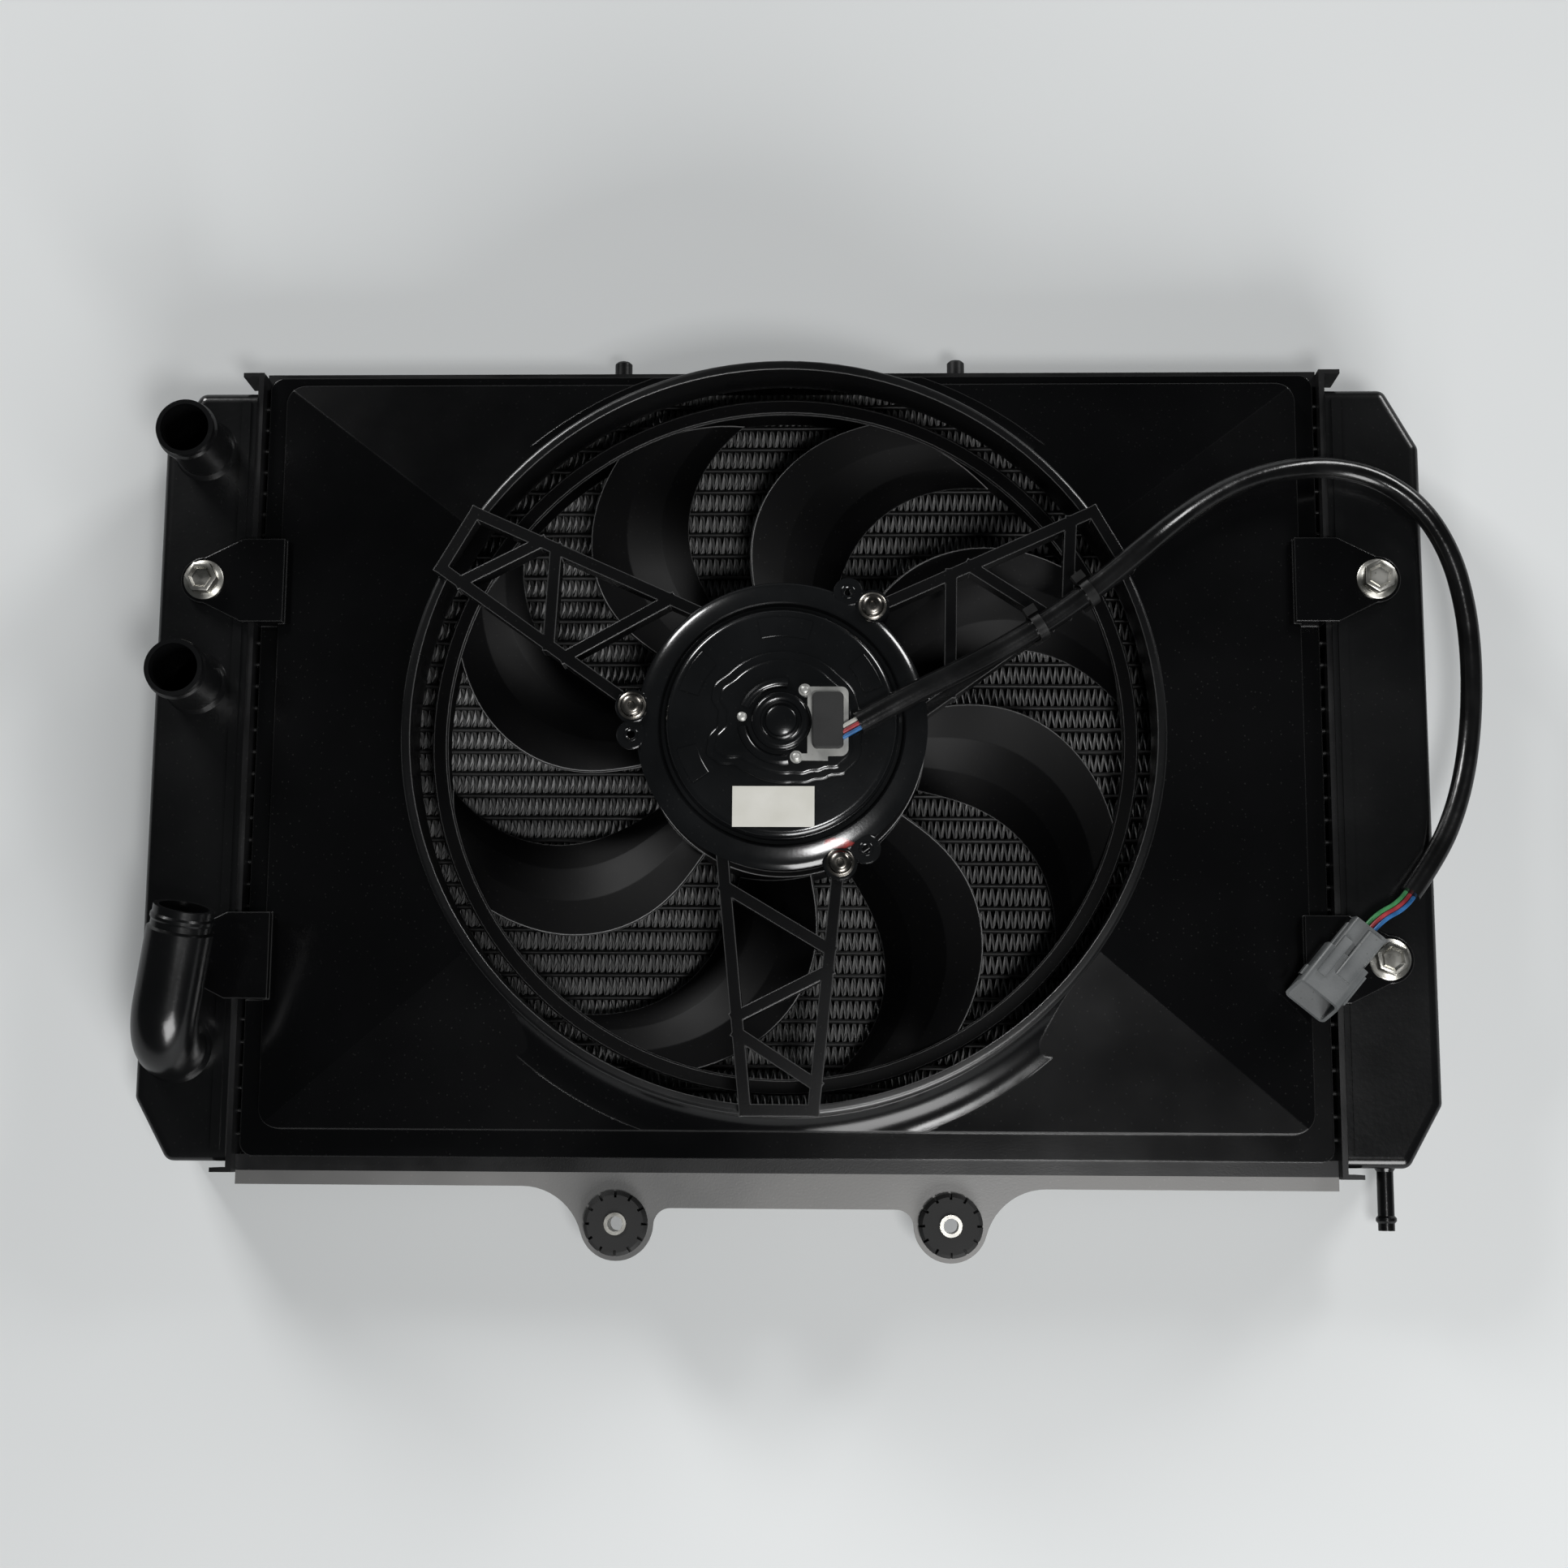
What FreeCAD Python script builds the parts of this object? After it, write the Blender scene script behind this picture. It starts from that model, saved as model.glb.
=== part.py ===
import FreeCAD, Part
import math
import os
import re
import Sketcher

# Engine radiator with an electric fan, lying with its tanks on z = 0 and the fan side up.
# X runs from tank to tank, Y from the bracket to the locating pins, Z along the fan's axis.
# The origin is the middle of the outline at the level that the tanks rest on.

doc = FreeCAD.newDocument("radiator")
sheet = doc.addObject("Spreadsheet::Sheet", "dims")

# Driving dimensions in millimetres, grouped by the piece they belong to
SIZES = [
    # core
    ("core_half", 240), ("core_low_y", -160.5), ("core_depth", 32), ("core_lift", 9),
    ("tube_rows", 34), ("tube_height", 2), ("fin_height", 8), ("fin_recess", 0.6),
    ("fin_end_gap", 2), ("tube_reach", 3),
    # header plates
    ("header_thickness", 2.5), ("header_low_y", -168.4), ("header_high_y", 193),
    ("header_margin", 1), ("clip_width", 9.5), ("clip_thickness", 2), ("clip_depth", 20),
    # tanks
    ("tank_width", 41.5), ("tank_depth", 50), ("tank_wall", 2.5), ("tank_low_y", -163.6),
    ("tank_high_y", 183.7), ("tank_cut_x", 15), ("tank_cut_y", 27), ("tank_radius", 5),
    ("bead_width", 4), ("bead_height", 1), ("bead_offset", 2.5),
    # hose pipes on the left tank
    ("port_x", -265), ("port_upper_y", 155.8), ("port_lower_y", 47.9), ("port_radius", 12.7),
    ("port_wall", 2), ("port_length", 35), ("port_bead", 0.8), ("port_foot", 1.6),
    ("elbow_x", -266), ("elbow_y", -114.5), ("elbow_radius", 14.2), ("elbow_wall", 2.4),
    ("elbow_bend", 24), ("elbow_rise", 6), ("elbow_run", 42), ("elbow_neck", 9),
    ("elbow_neck_radius", 12.9), ("elbow_turn", 12), ("elbow_tilt", 14),
    # vent pipe on the right tank
    ("vent_x", 263.3), ("vent_z", 25), ("vent_radius", 3.6), ("vent_bore", 2.4),
    ("vent_length", 27), ("vent_bead", 0.9),
    # side plates and locating pins
    ("side_thickness", 1.5), ("side_leg", 7), ("pin_spacing", 154.6), ("pin_radius", 4),
    ("pin_tip_y", 205.3), ("pin_foot_radius", 6.5), ("pin_foot", 2),
    # mounting bracket, grommets and collars
    ("bracket_thickness", 2.5), ("bracket_low_y", -173.5), ("bracket_mid_y", -182.6),
    ("ear_spacing", 145), ("ear_y", -189.3), ("ear_radius", 16), ("sweep_radius", 27),
    ("inner_sweep_radius", 7.5), ("bracket_web", 24), ("grommet_radius", 13.8),
    ("grommet_waist", 10.5), ("grommet_lip", 5.5), ("grommet_notches", 12),
    ("grommet_notch", 1.1), ("collar_radius", 4.8), ("collar_bore", 3.25), ("collar_proud", 0.6),
    # shroud
    ("fan_axis_y", 18.6), ("shroud_wall", 2.5), ("flange_half", 238), ("flange_low_y", -161.4),
    ("flange_high_y", 192.1), ("flange_corner", 6), ("pan_half_x", 229), ("pan_half_y", 168),
    ("pan_corner", 9), ("pan_step", 8), ("roof_rise", 30), ("roof_inset_x", 118),
    ("roof_inset_y", 96), ("ring_radius", 160.5), ("ring_margin", 2), ("flare_radius", 18),
    ("rim_radius", 1.9), ("tab_upper_y", 94.3), ("tab_lower_y", -74.4), ("tab_half", 19),
    ("tab_inner_x", 226), ("tab_box_x", 239), ("tab_lift", 1.2), ("tab_thickness", 2.8),
    ("tab_nose", 10.5), ("bolt_x", 262),
    # shroud bolts
    ("bolt_radius", 4), ("bolt_washer_radius", 9), ("bolt_washer", 2), ("bolt_head", 5),
    ("bolt_flats", 13), ("bolt_gap", 0.3), ("bolt_reach", 9), ("nut_height", 9.5), ("nut_flats", 15),
    # motor stay
    ("stay_rise", 8), ("stay_depth", 10), ("can_room", 2), ("stay_ring_wall", 7.5),
    ("rib_width", 5), ("arm_sink", 3.5), ("arm_short", 0.7), ("arm_root_half", 24.3),
    ("arm_end_half", 14), ("boss_radius", 7),
    # motor
    ("cover_overhang", 1.7), ("cover_sheet", 2), ("dome_margin", 1.5), ("dome_height", 5),
    ("dome_corner", 3), ("groove_width", 3), ("ear_angle", 53), ("ear_reach", 2),
    ("screw_seat", 0.3),
    ("ear_lobe", 7.2), ("ear_hole_turn", 11), ("ear_hole", 1.7), ("island_radius", 27),
    ("island_height", 1.6), ("can_radius", 50), ("can_wall", 1.8), ("can_length", 41),
    ("bearing_radius", 11), ("bearing_width", 7), ("nose_length", 7), ("shaft_radius", 4),
    ("running_gap", 0.05), ("magnet_thickness", 4), ("magnet_length", 30), ("magnet_gap", 14),
    ("air_gap", 1), ("armature_length", 24), ("armature_slots", 12), ("slot_width", 3),
    ("slot_depth", 14), ("commutator_radius", 12), ("commutator_length", 8),
    ("brush_width", 7), ("brush_plate", 1.6), ("cap_radius", 12.4), ("cap_height", 3),
    ("cap_gap", 0.4), ("screw_head_radius", 5.9), ("screw_head", 4.2),
    ("screw_radius", 2.1), ("screw_length", 9), ("plate_x", 19.5), ("plate_half_x", 8.5),
    ("plate_half_y", 14.5), ("plate_thickness", 1.2), ("gland_half_x", 6.5),
    ("gland_half_y", 11.7), ("gland_height", 4), ("rivet_circle", 16.4), ("rivet_radius", 2),
    ("rivet_height", 1.3), ("blank_length", 34), ("blank_width", 17), ("blank_margin", 13),
    ("blank_thickness", 0.4),
    # fan
    ("blades", 8), ("hub_radius", 61), ("hub_wall", 2.5), ("hub_height", 29), ("hub_edge", 3),
    ("hub_foot", 1.5), ("hub_boss_radius", 9), ("hub_boss", 6), ("nose_room", 2),
    ("tip_room", 4.8), ("band_wall", 2.5), ("band_drop", 1), ("band_height", 22.5),
    ("lip_out", 2.2), ("lip_in", 4.7), ("lip_thickness", 2.4), ("blade_thickness", 2.2),
    ("blade_low", 2), ("blade_high", 27), ("blade_fall", 9), ("fan_nut_height", 6.5),
    ("shaft_proud", 0.5), ("fan_room", 1.5),
    # cord
    ("cord_radius", 4.75), ("tie_width", 4.2), ("tie_thickness", 1.3), ("wire_radius", 0.95),
    # connector
    ("connector_length", 44), ("connector_half", 10.5), ("connector_neck_half", 8.2),
    ("connector_height", 15), ("connector_wall", 1.8), ("connector_mouth", 19),
    ("connector_slant", 8.5), ("connector_neck", 16), ("connector_tilt", 3.9), ("connector_turn", -129.2),
]
for row, (alias, number) in enumerate(SIZES, start=1):
    sheet.set(f"A{row}", alias)
    sheet.set(f"B{row}", str(number))
    sheet.setAlias(f"B{row}", alias)
doc.recompute()
ALIASES = {alias for alias, number in SIZES}


def bound(text):
    """An expression on the sheet's cells, from the same text with plain names."""
    def prefixed(match):
        return "dims." + match.group() if match.group() in ALIASES else match.group()

    return re.sub(r"[a-z_]\w*", prefixed, str(text))


def size(text):
    """The number that such an expression gives."""
    return float(sheet.evalExpression(bound(text)))


# Sizes that several pieces share
CORE_TOP = "(core_lift + core_depth)"
TUBE_PITCH = "(tube_height + fin_height)"
CORE_HIGH_Y = f"(core_low_y + tube_rows * {TUBE_PITCH} + fin_height)"
TANK_INNER = "(core_half + header_thickness)"
TANK_OUTER = f"({TANK_INNER} + tank_width)"
PORT_BORE = "(port_radius - port_wall)"
ELBOW_BORE = "(elbow_neck_radius - elbow_wall)"
RING_HEIGHT = ("(fan_room + shaft_proud + fan_nut_height + hub_foot + hub_boss + nose_room"
               " + nose_length + can_length - stay_rise)")
RIM_Z = f"({CORE_TOP} + {RING_HEIGHT})"
STAY_TOP = f"({RIM_Z} + stay_rise)"
COVER_TOP = f"({STAY_TOP} + cover_sheet)"
DOME_TOP = f"({COVER_TOP} + dome_height)"
PLATE_BASE = f"({DOME_TOP} + island_height)"
TAB_BASE = "(tank_depth + tab_lift)"
TAB_TOP = f"({TAB_BASE} + tab_thickness)"
BRACKET_BASE = f"({CORE_TOP} - bracket_thickness)"
STAY_RING = "(can_radius + can_room + stay_ring_wall)"
COVER_RADIUS = f"({STAY_RING} + cover_overhang)"
EAR_CIRCLE = f"({COVER_RADIUS} + ear_reach)"
DOME_RADIUS = "(can_radius - dome_margin)"
GROOVE_RADIUS = f"({DOME_RADIUS} + groove_width)"
HUB_LOW = f"({STAY_TOP} - can_length - nose_length - nose_room - hub_boss)"
SHAFT_TIP = f"({HUB_LOW} - hub_foot - fan_nut_height - shaft_proud)"
BAND_RADIUS = "(ring_radius - shroud_wall - tip_room - lip_out)"
BAND_INNER = f"({BAND_RADIUS} - band_wall)"


def plane(body, role):
    return [item for item in body.Origin.OriginFeatures if item.Role == role][0]


def new_body(name, x=0, y=0, z=0):
    """A body whose own origin stands at the given place."""
    body = doc.addObject("PartDesign::Body", name)
    body.Label = name
    for axis, text in zip("xyz", (x, y, z)):
        body.setExpression(f"Placement.Base.{axis}", bound(text))
    return body


def new_sketch(body, name, role, lift=0):
    """A sketch on one of the body's own planes, raised along the plane's normal."""
    sketch = body.newObject("Sketcher::SketchObject", name)
    sketch.AttachmentSupport = [(plane(body, role), "")]
    sketch.MapMode = "FlatFace"
    sketch.setExpression("AttachmentOffset.Base.z", bound(lift))
    return sketch


def fix(sketch, kind, geometry, point, text):
    """Ties one coordinate of a sketch point to the sheet."""
    number = sketch.addConstraint(Sketcher.Constraint(kind, -1, 1, geometry, point, size(text)))
    sketch.setExpression(f"Constraints[{number}]", bound(text))


def outline(sketch, points):
    """A closed outline. A point is (x, y), or (x, y, radius, turn) where an arc leads to it."""
    places = [FreeCAD.Vector(size(p[0]), size(p[1]), 0) for p in points]
    ends = []
    for number, point in enumerate(points):
        start = places[number - 1]
        end = places[number]
        if len(point) == 2:
            index = sketch.addGeometry(Part.LineSegment(start, end), False)
            ends.append((index, 1, 2))
            continue
        radius = size(point[2])
        middle = (start + end) / 2
        across = FreeCAD.Vector(start.y - end.y, end.x - start.x, 0)
        reach = math.sqrt(max(radius ** 2 - (end - start).Length ** 2 / 4, 0))
        centre = middle + across.normalize() * reach * point[3]
        circle = Part.Circle(centre, FreeCAD.Vector(0, 0, 1), radius)
        if point[3] > 0:
            arc = Part.ArcOfCircle(circle, circle.parameter(start), circle.parameter(end))
            ends.append((sketch.addGeometry(arc, False), 1, 2))
        else:
            arc = Part.ArcOfCircle(circle, circle.parameter(end), circle.parameter(start))
            ends.append((sketch.addGeometry(arc, False), 2, 1))
        if reach < 0.01:
            fix(sketch, "DistanceX", ends[-1][0], 3, point[0])
            continue
        tie = sketch.addConstraint(Sketcher.Constraint("Radius", ends[-1][0], radius))
        sketch.setExpression(f"Constraints[{tie}]", bound(point[2]))
    for number, (index, start, end) in enumerate(ends):
        after = ends[(number + 1) % len(ends)]
        sketch.addConstraint(Sketcher.Constraint("Coincident", index, end, after[0], after[1]))
        fix(sketch, "DistanceX", index, end, points[number][0])
        fix(sketch, "DistanceY", index, end, points[number][1])


def rectangle(sketch, low_x, low_y, high_x, high_y):
    outline(sketch, [(low_x, low_y), (high_x, low_y), (high_x, high_y), (low_x, high_y)])


def hexagon(sketch, flats):
    """A hexagon of the given width across its flats, about the sketch's origin."""
    reach = f"({flats} / sqrt(3))"
    outline(sketch, [(f"{reach} * {c}", f"{reach} * {s}") for c, s in
                     ((1, 0), (0.5, "sqrt(3) / 2"), (-0.5, "sqrt(3) / 2"), (-1, 0),
                      (-0.5, "-sqrt(3) / 2"), (0.5, "-sqrt(3) / 2"))])


def circle(sketch, x, y, radius):
    centre = FreeCAD.Vector(size(x), size(y), 0)
    index = sketch.addGeometry(Part.Circle(centre, FreeCAD.Vector(0, 0, 1), size(radius)), False)
    tie = sketch.addConstraint(Sketcher.Constraint("Radius", index, size(radius)))
    sketch.setExpression(f"Constraints[{tie}]", bound(radius))
    fix(sketch, "DistanceX", index, 3, x)
    fix(sketch, "DistanceY", index, 3, y)


def pad(sketch, length, symmetric=False):
    feature = sketch.getParentGeoFeatureGroup().newObject("PartDesign::Pad", sketch.Name + "_pad")
    feature.Profile = sketch
    feature.setExpression("Length", bound(length))
    if symmetric:
        feature.SideType = "Symmetric"
    doc.recompute()
    return feature


def pocket(sketch, length, symmetric=False):
    """Cuts downwards from the sketch, or to both sides of it."""
    body = sketch.getParentGeoFeatureGroup()
    before = body.Shape.Volume
    feature = body.newObject("PartDesign::Pocket", sketch.Name + "_cut")
    feature.Profile = sketch
    feature.setExpression("Length", bound(length))
    if symmetric:
        feature.SideType = "Symmetric"
    doc.recompute()
    if body.Shape.Volume >= before:
        raise RuntimeError(f"{body.Label}: {sketch.Name} cuts nothing")
    return feature


def turn(sketch, axis="V_Axis", angle=360):
    body = sketch.getParentGeoFeatureGroup()
    feature = body.newObject("PartDesign::Revolution", sketch.Name + "_turned")
    feature.Profile = sketch
    feature.ReferenceAxis = (sketch, [axis])
    feature.Angle = angle
    doc.recompute()
    return feature


def row_of(feature, sketch, axis, spacing, count):
    body = sketch.getParentGeoFeatureGroup()
    pattern = body.newObject("PartDesign::LinearPattern", sketch.Name + "_row")
    pattern.Originals = [feature]
    pattern.Direction = (sketch, [axis])
    pattern.Mode = "Spacing"
    pattern.setExpression("Offset", bound(spacing))
    pattern.setExpression("Occurrences", bound(count))
    body.Tip = pattern
    doc.recompute()
    return pattern


def round_of(features, body, count):
    pattern = body.newObject("PartDesign::PolarPattern", features[0].Name + "_round")
    pattern.Originals = features
    pattern.Axis = (plane(body, "Z_Axis"), [""])
    pattern.Angle = 360
    pattern.setExpression("Occurrences", bound(count))
    body.Tip = pattern
    doc.recompute()
    return pattern


def soften(body, radius, wanted):
    """Rounds the edges of the body's last feature that the test picks."""
    base = body.Tip
    edges = [f"Edge{n}" for n, edge in enumerate(base.Shape.Edges, start=1) if wanted(edge)]
    feature = body.newObject("PartDesign::Fillet", base.Name + "_soft")
    feature.Base = (base, edges)
    feature.setExpression("Radius", bound(radius))
    doc.recompute()
    return feature


def turned_body(name, points, x=0, y=0, z=0):
    """A body turned about its own Z from a half section of (radius, height) points."""
    body = new_body(name, x, y, z)
    sketch = new_sketch(body, name + "_section", "XZ_Plane")
    outline(sketch, points)
    turn(sketch)
    return body


def group(name, members):
    """Like pieces that share one node."""
    compound = doc.addObject("Part::Compound", name)
    compound.Label = name
    compound.Links = members
    return compound


def block(name, low, high):
    """A box between two corners."""
    box = doc.addObject("Part::Box", name)
    for axis, key, start, end in zip("xyz", ("Length", "Width", "Height"), low, high):
        box.setExpression(f"Placement.Base.{axis}", bound(start))
        box.setExpression(key, bound(f"({end}) - ({start})"))
    return box


def fused(name, shapes):
    result = doc.addObject("Part::MultiFuse", name)
    result.Shapes = shapes
    result.Refine = True
    return result


def shared(name, shapes):
    result = doc.addObject("Part::MultiCommon", name)
    result.Shapes = shapes
    return result


def cut(name, base, tool):
    result = doc.addObject("Part::Cut", name)
    result.Base = base
    result.Tool = tool
    return result


def plain(name, shape):
    """A piece whose shape is worked out in code from the sheet."""
    item = doc.addObject("Part::Feature", name)
    item.Label = name
    item.Shape = shape
    return item


PARTS = []


def keep(item):
    """Marks an object of the document as a sub-part, written to its own file."""
    PARTS.append(item)
    return item


# Flat tubes: one tube, repeated up the core, reaching through both header plates
def core_tubes():
    body = new_body("core_tubes")
    sketch = new_sketch(body, "tube_section", "YZ_Plane")
    low = "core_low_y + fin_height"
    rectangle(sketch, low, "core_lift", f"{low} + tube_height", CORE_TOP)
    feature = pad(sketch, "2 * (core_half + tube_reach)", symmetric=True)
    row_of(feature, sketch, "H_Axis", TUBE_PITCH, "tube_rows")
    return body


# Fin packs: a slab in each space between tubes, and one at each end of the core
def core_fins():
    body = new_body("core_fins")
    sketch = new_sketch(body, "fin_section", "YZ_Plane")
    rectangle(sketch, "core_low_y", "core_lift + fin_recess", "core_low_y + fin_height",
              f"{CORE_TOP} - fin_recess")
    feature = pad(sketch, "2 * (core_half - fin_end_gap)", symmetric=True)
    row_of(feature, sketch, "H_Axis", TUBE_PITCH, "tube_rows + 1")
    return body


# Header plate: a flat plate with a slot for each tube and a folded clip at each end
def header_plate(name, side):
    body = new_body(name)
    sketch = new_sketch(body, name + "_face", "YZ_Plane", f"{side} * (core_half + header_thickness / 2)")
    rectangle(sketch, "header_low_y", "header_margin", "header_high_y", "tank_depth - header_margin")
    pad(sketch, "header_thickness", symmetric=True)
    for end, start in (("low", "header_low_y"), ("high", "header_high_y - clip_thickness")):
        clip = new_sketch(body, f"{name}_{end}_clip", "YZ_Plane", f"{side} * (core_half + clip_width / 2)")
        top = "tank_depth - header_margin"
        rectangle(clip, start, f"{top} - clip_depth", f"{start} + clip_thickness", top)
        pad(clip, "clip_width", symmetric=True)
    slot = new_sketch(body, name + "_slot", "YZ_Plane", f"{side} * (core_half + header_thickness / 2)")
    low = "core_low_y + fin_height"
    rectangle(slot, low, "core_lift", f"{low} + tube_height", CORE_TOP)
    feature = pocket(slot, "header_thickness * 2", symmetric=True)
    row_of(feature, slot, "H_Axis", TUBE_PITCH, "tube_rows")
    return body


# Tank: an open box with its outer corners cut, a bead along the open edge and its holes
def tank(name, side, holes):
    body = new_body(name)
    low, high, cut_x, cut_y = "tank_low_y", "tank_high_y", "tank_cut_x", "tank_cut_y"
    sketch = new_sketch(body, name + "_plan", "XY_Plane")
    outer = [(TANK_INNER, low), (f"{TANK_OUTER} - {cut_x}", low), (TANK_OUTER, f"{low} + {cut_y}"),
             (TANK_OUTER, f"{high} - {cut_y}"), (f"{TANK_OUTER} - {cut_x}", high), (TANK_INNER, high)]
    outline(sketch, [(f"{side} * ({x})", y) for x, y in outer])
    pad(sketch, "tank_depth")
    inner_x = size(TANK_INNER)
    soften(body, "tank_radius", lambda edge: max(abs(v.X) for v in edge.Vertexes) > inner_x + 1)
    diagonal = f"sqrt({cut_x}^2 + {cut_y}^2)"
    back_x = f"({TANK_OUTER} - {cut_x} - tank_wall * ({diagonal} - {cut_x}) / {cut_y})"
    back_y = f"({cut_y} + tank_wall * ({diagonal} - {cut_y}) / {cut_x})"
    hollow = new_sketch(body, name + "_hollow", "XY_Plane", "tank_depth - tank_wall")
    inner = [(f"{TANK_INNER} - 1", f"{low} + tank_wall"), (back_x, f"{low} + tank_wall"),
             (f"{TANK_OUTER} - tank_wall", f"{low} + {back_y}"),
             (f"{TANK_OUTER} - tank_wall", f"{high} - {back_y}"),
             (back_x, f"{high} - tank_wall"), (f"{TANK_INNER} - 1", f"{high} - tank_wall")]
    outline(hollow, [(f"{side} * ({x})", y) for x, y in inner])
    pocket(hollow, "tank_depth - 2 * tank_wall")
    bead = new_sketch(body, name + "_bead", "XY_Plane", "tank_depth")
    start = f"{TANK_INNER} + bead_offset"
    inset = "tank_radius"
    rectangle(bead, f"{side} * ({start})", f"{low} + {inset}", f"{side} * ({start} + bead_width)",
              f"{high} - {inset}")
    pad(bead, "bead_height")
    for number, (x, y, radius) in enumerate(holes):
        hole = new_sketch(body, f"{name}_hole{number}", "XY_Plane", "tank_depth")
        circle(hole, x, y, radius)
        pocket(hole, "tank_wall * 2")
    return body


# Straight hose pipe: a beaded tube that flares into its weld on the tank
def port(name, y):
    wide = "port_radius + port_bead"
    bead = "port_length - 6"
    points = [(PORT_BORE, 0), ("port_radius + port_foot", 0), ("port_radius", "port_foot * 1.5"),
              ("port_radius", f"{bead} - 1.5"), (wide, bead), (wide, f"{bead} + 1.5"),
              ("port_radius", f"{bead} + 3"), ("port_radius", "port_length"), (PORT_BORE, "port_length")]
    return turned_body(name, points, "port_x", y, "tank_depth")


# Elbow hose pipe: a short rise, a bend and a run that still climbs a little to its beaded neck
def elbow_pipe():
    body = new_body("elbow_pipe", "elbow_x", "elbow_y", "tank_depth")
    body.Placement.Rotation = FreeCAD.Rotation(FreeCAD.Vector(0, 0, 1), -size("elbow_turn"))
    spine = new_sketch(body, "elbow_spine", "YZ_Plane")
    lean = ("sin(elbow_tilt * 1 deg)", "cos(elbow_tilt * 1 deg)")
    bend_x = f"elbow_bend * (1 - {lean[0]})"
    bend_y = f"(elbow_rise + elbow_bend * {lean[1]})"
    mouth_x = f"({bend_x} + elbow_run * {lean[1]})"
    mouth_y = f"({bend_y} + elbow_run * {lean[0]})"
    corner = FreeCAD.Vector(0, size("elbow_rise"), 0)
    centre = FreeCAD.Vector(size("elbow_bend"), size("elbow_rise"), 0)
    after = FreeCAD.Vector(size(bend_x), size(bend_y), 0)
    end = FreeCAD.Vector(size(mouth_x), size(mouth_y), 0)
    spine.addGeometry(Part.LineSegment(FreeCAD.Vector(0, 0, 0), corner), False)
    bend = Part.Circle(centre, FreeCAD.Vector(0, 0, 1), size("elbow_bend"))
    spine.addGeometry(Part.ArcOfCircle(bend, bend.parameter(after), math.pi), False)
    spine.addGeometry(Part.LineSegment(after, end), False)
    spine.addConstraint(Sketcher.Constraint("Coincident", 0, 1, -1, 1))
    spine.addConstraint(Sketcher.Constraint("Coincident", 0, 2, 1, 2))
    spine.addConstraint(Sketcher.Constraint("Coincident", 1, 1, 2, 1))
    fix(spine, "DistanceX", 0, 2, 0)
    fix(spine, "DistanceY", 0, 2, "elbow_rise")
    fix(spine, "DistanceX", 2, 1, bend_x)
    fix(spine, "DistanceY", 2, 1, bend_y)
    fix(spine, "DistanceX", 2, 2, mouth_x)
    fix(spine, "DistanceY", 2, 2, mouth_y)
    tie = spine.addConstraint(Sketcher.Constraint("Radius", 1, size("elbow_bend")))
    spine.setExpression(f"Constraints[{tie}]", bound("elbow_bend"))
    doc.recompute()
    for kind, radius in (("Additive", "elbow_radius"), ("Subtractive", ELBOW_BORE)):
        ring = new_sketch(body, f"elbow_{kind.lower()}_ring", "XY_Plane")
        circle(ring, 0, 0, radius)
        pipe = body.newObject(f"PartDesign::{kind}Pipe", f"elbow_{kind.lower()}")
        pipe.Profile = ring
        pipe.Spine = (spine, ["Edge1", "Edge2", "Edge3"])
        doc.recompute()
    foot = new_sketch(body, "elbow_foot", "XZ_Plane")
    outline(foot, [("elbow_radius - elbow_wall / 2", 0), ("elbow_radius + port_foot", 0),
                   ("elbow_radius - 0.1", "port_foot * 1.5"),
                   ("elbow_radius - elbow_wall / 2", "port_foot * 1.5")])
    turn(foot)
    # the neck is turned down behind a bead at the mouth
    neck = new_sketch(body, "elbow_neck_groove", "YZ_Plane")

    def by_mouth(back, out):
        """A point so far back from the mouth and so far out from the run's axis."""
        return (f"{mouth_x} - ({back}) * {lean[1]} - ({out}) * {lean[0]}",
                f"{mouth_y} - ({back}) * {lean[0]} + ({out}) * {lean[1]}")

    outline(neck, [by_mouth("elbow_neck", "elbow_neck_radius"), by_mouth(6.5, "elbow_neck_radius"),
                   by_mouth(5.5, "elbow_neck_radius + 0.6"), by_mouth(4.2, "elbow_neck_radius + 0.6"),
                   by_mouth(3.2, "elbow_neck_radius"), by_mouth(-1, "elbow_neck_radius"),
                   by_mouth(-1, "elbow_radius + 2"), by_mouth("elbow_neck + 1", "elbow_radius + 2"),
                   by_mouth("elbow_neck + 1", "elbow_radius")])
    neck.addGeometry(Part.LineSegment(after, end), True)
    line = neck.GeometryCount - 1
    fix(neck, "DistanceX", line, 1, bend_x)
    fix(neck, "DistanceY", line, 1, bend_y)
    fix(neck, "DistanceX", line, 2, mouth_x)
    fix(neck, "DistanceY", line, 2, mouth_y)
    doc.recompute()
    before = body.Shape.Volume
    groove = body.newObject("PartDesign::Groove", "elbow_neck_cut")
    groove.Profile = neck
    groove.ReferenceAxis = (neck, ["Axis0"])
    groove.Angle = 360
    doc.recompute()
    if body.Shape.Volume >= before:
        raise RuntimeError("the elbow's neck cuts nothing")
    return body


# Vent pipe: a thin beaded tube out of the end of the right tank
def vent_pipe():
    points = [("vent_bore", 0), ("vent_radius + 1", 0), ("vent_radius", 1.5),
              ("vent_radius", "vent_length - 6.5"), ("vent_radius + vent_bead", "vent_length - 5.5"),
              ("vent_radius + vent_bead", "vent_length - 4.2"), ("vent_radius", "vent_length - 3.2"),
              ("vent_radius", "vent_length"), ("vent_bore", "vent_length")]
    body = turned_body("vent_pipe", points, "vent_x", "tank_low_y", "vent_z")
    body.Placement.Rotation = FreeCAD.Rotation(FreeCAD.Vector(1, 0, 0), 90)
    return body


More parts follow.
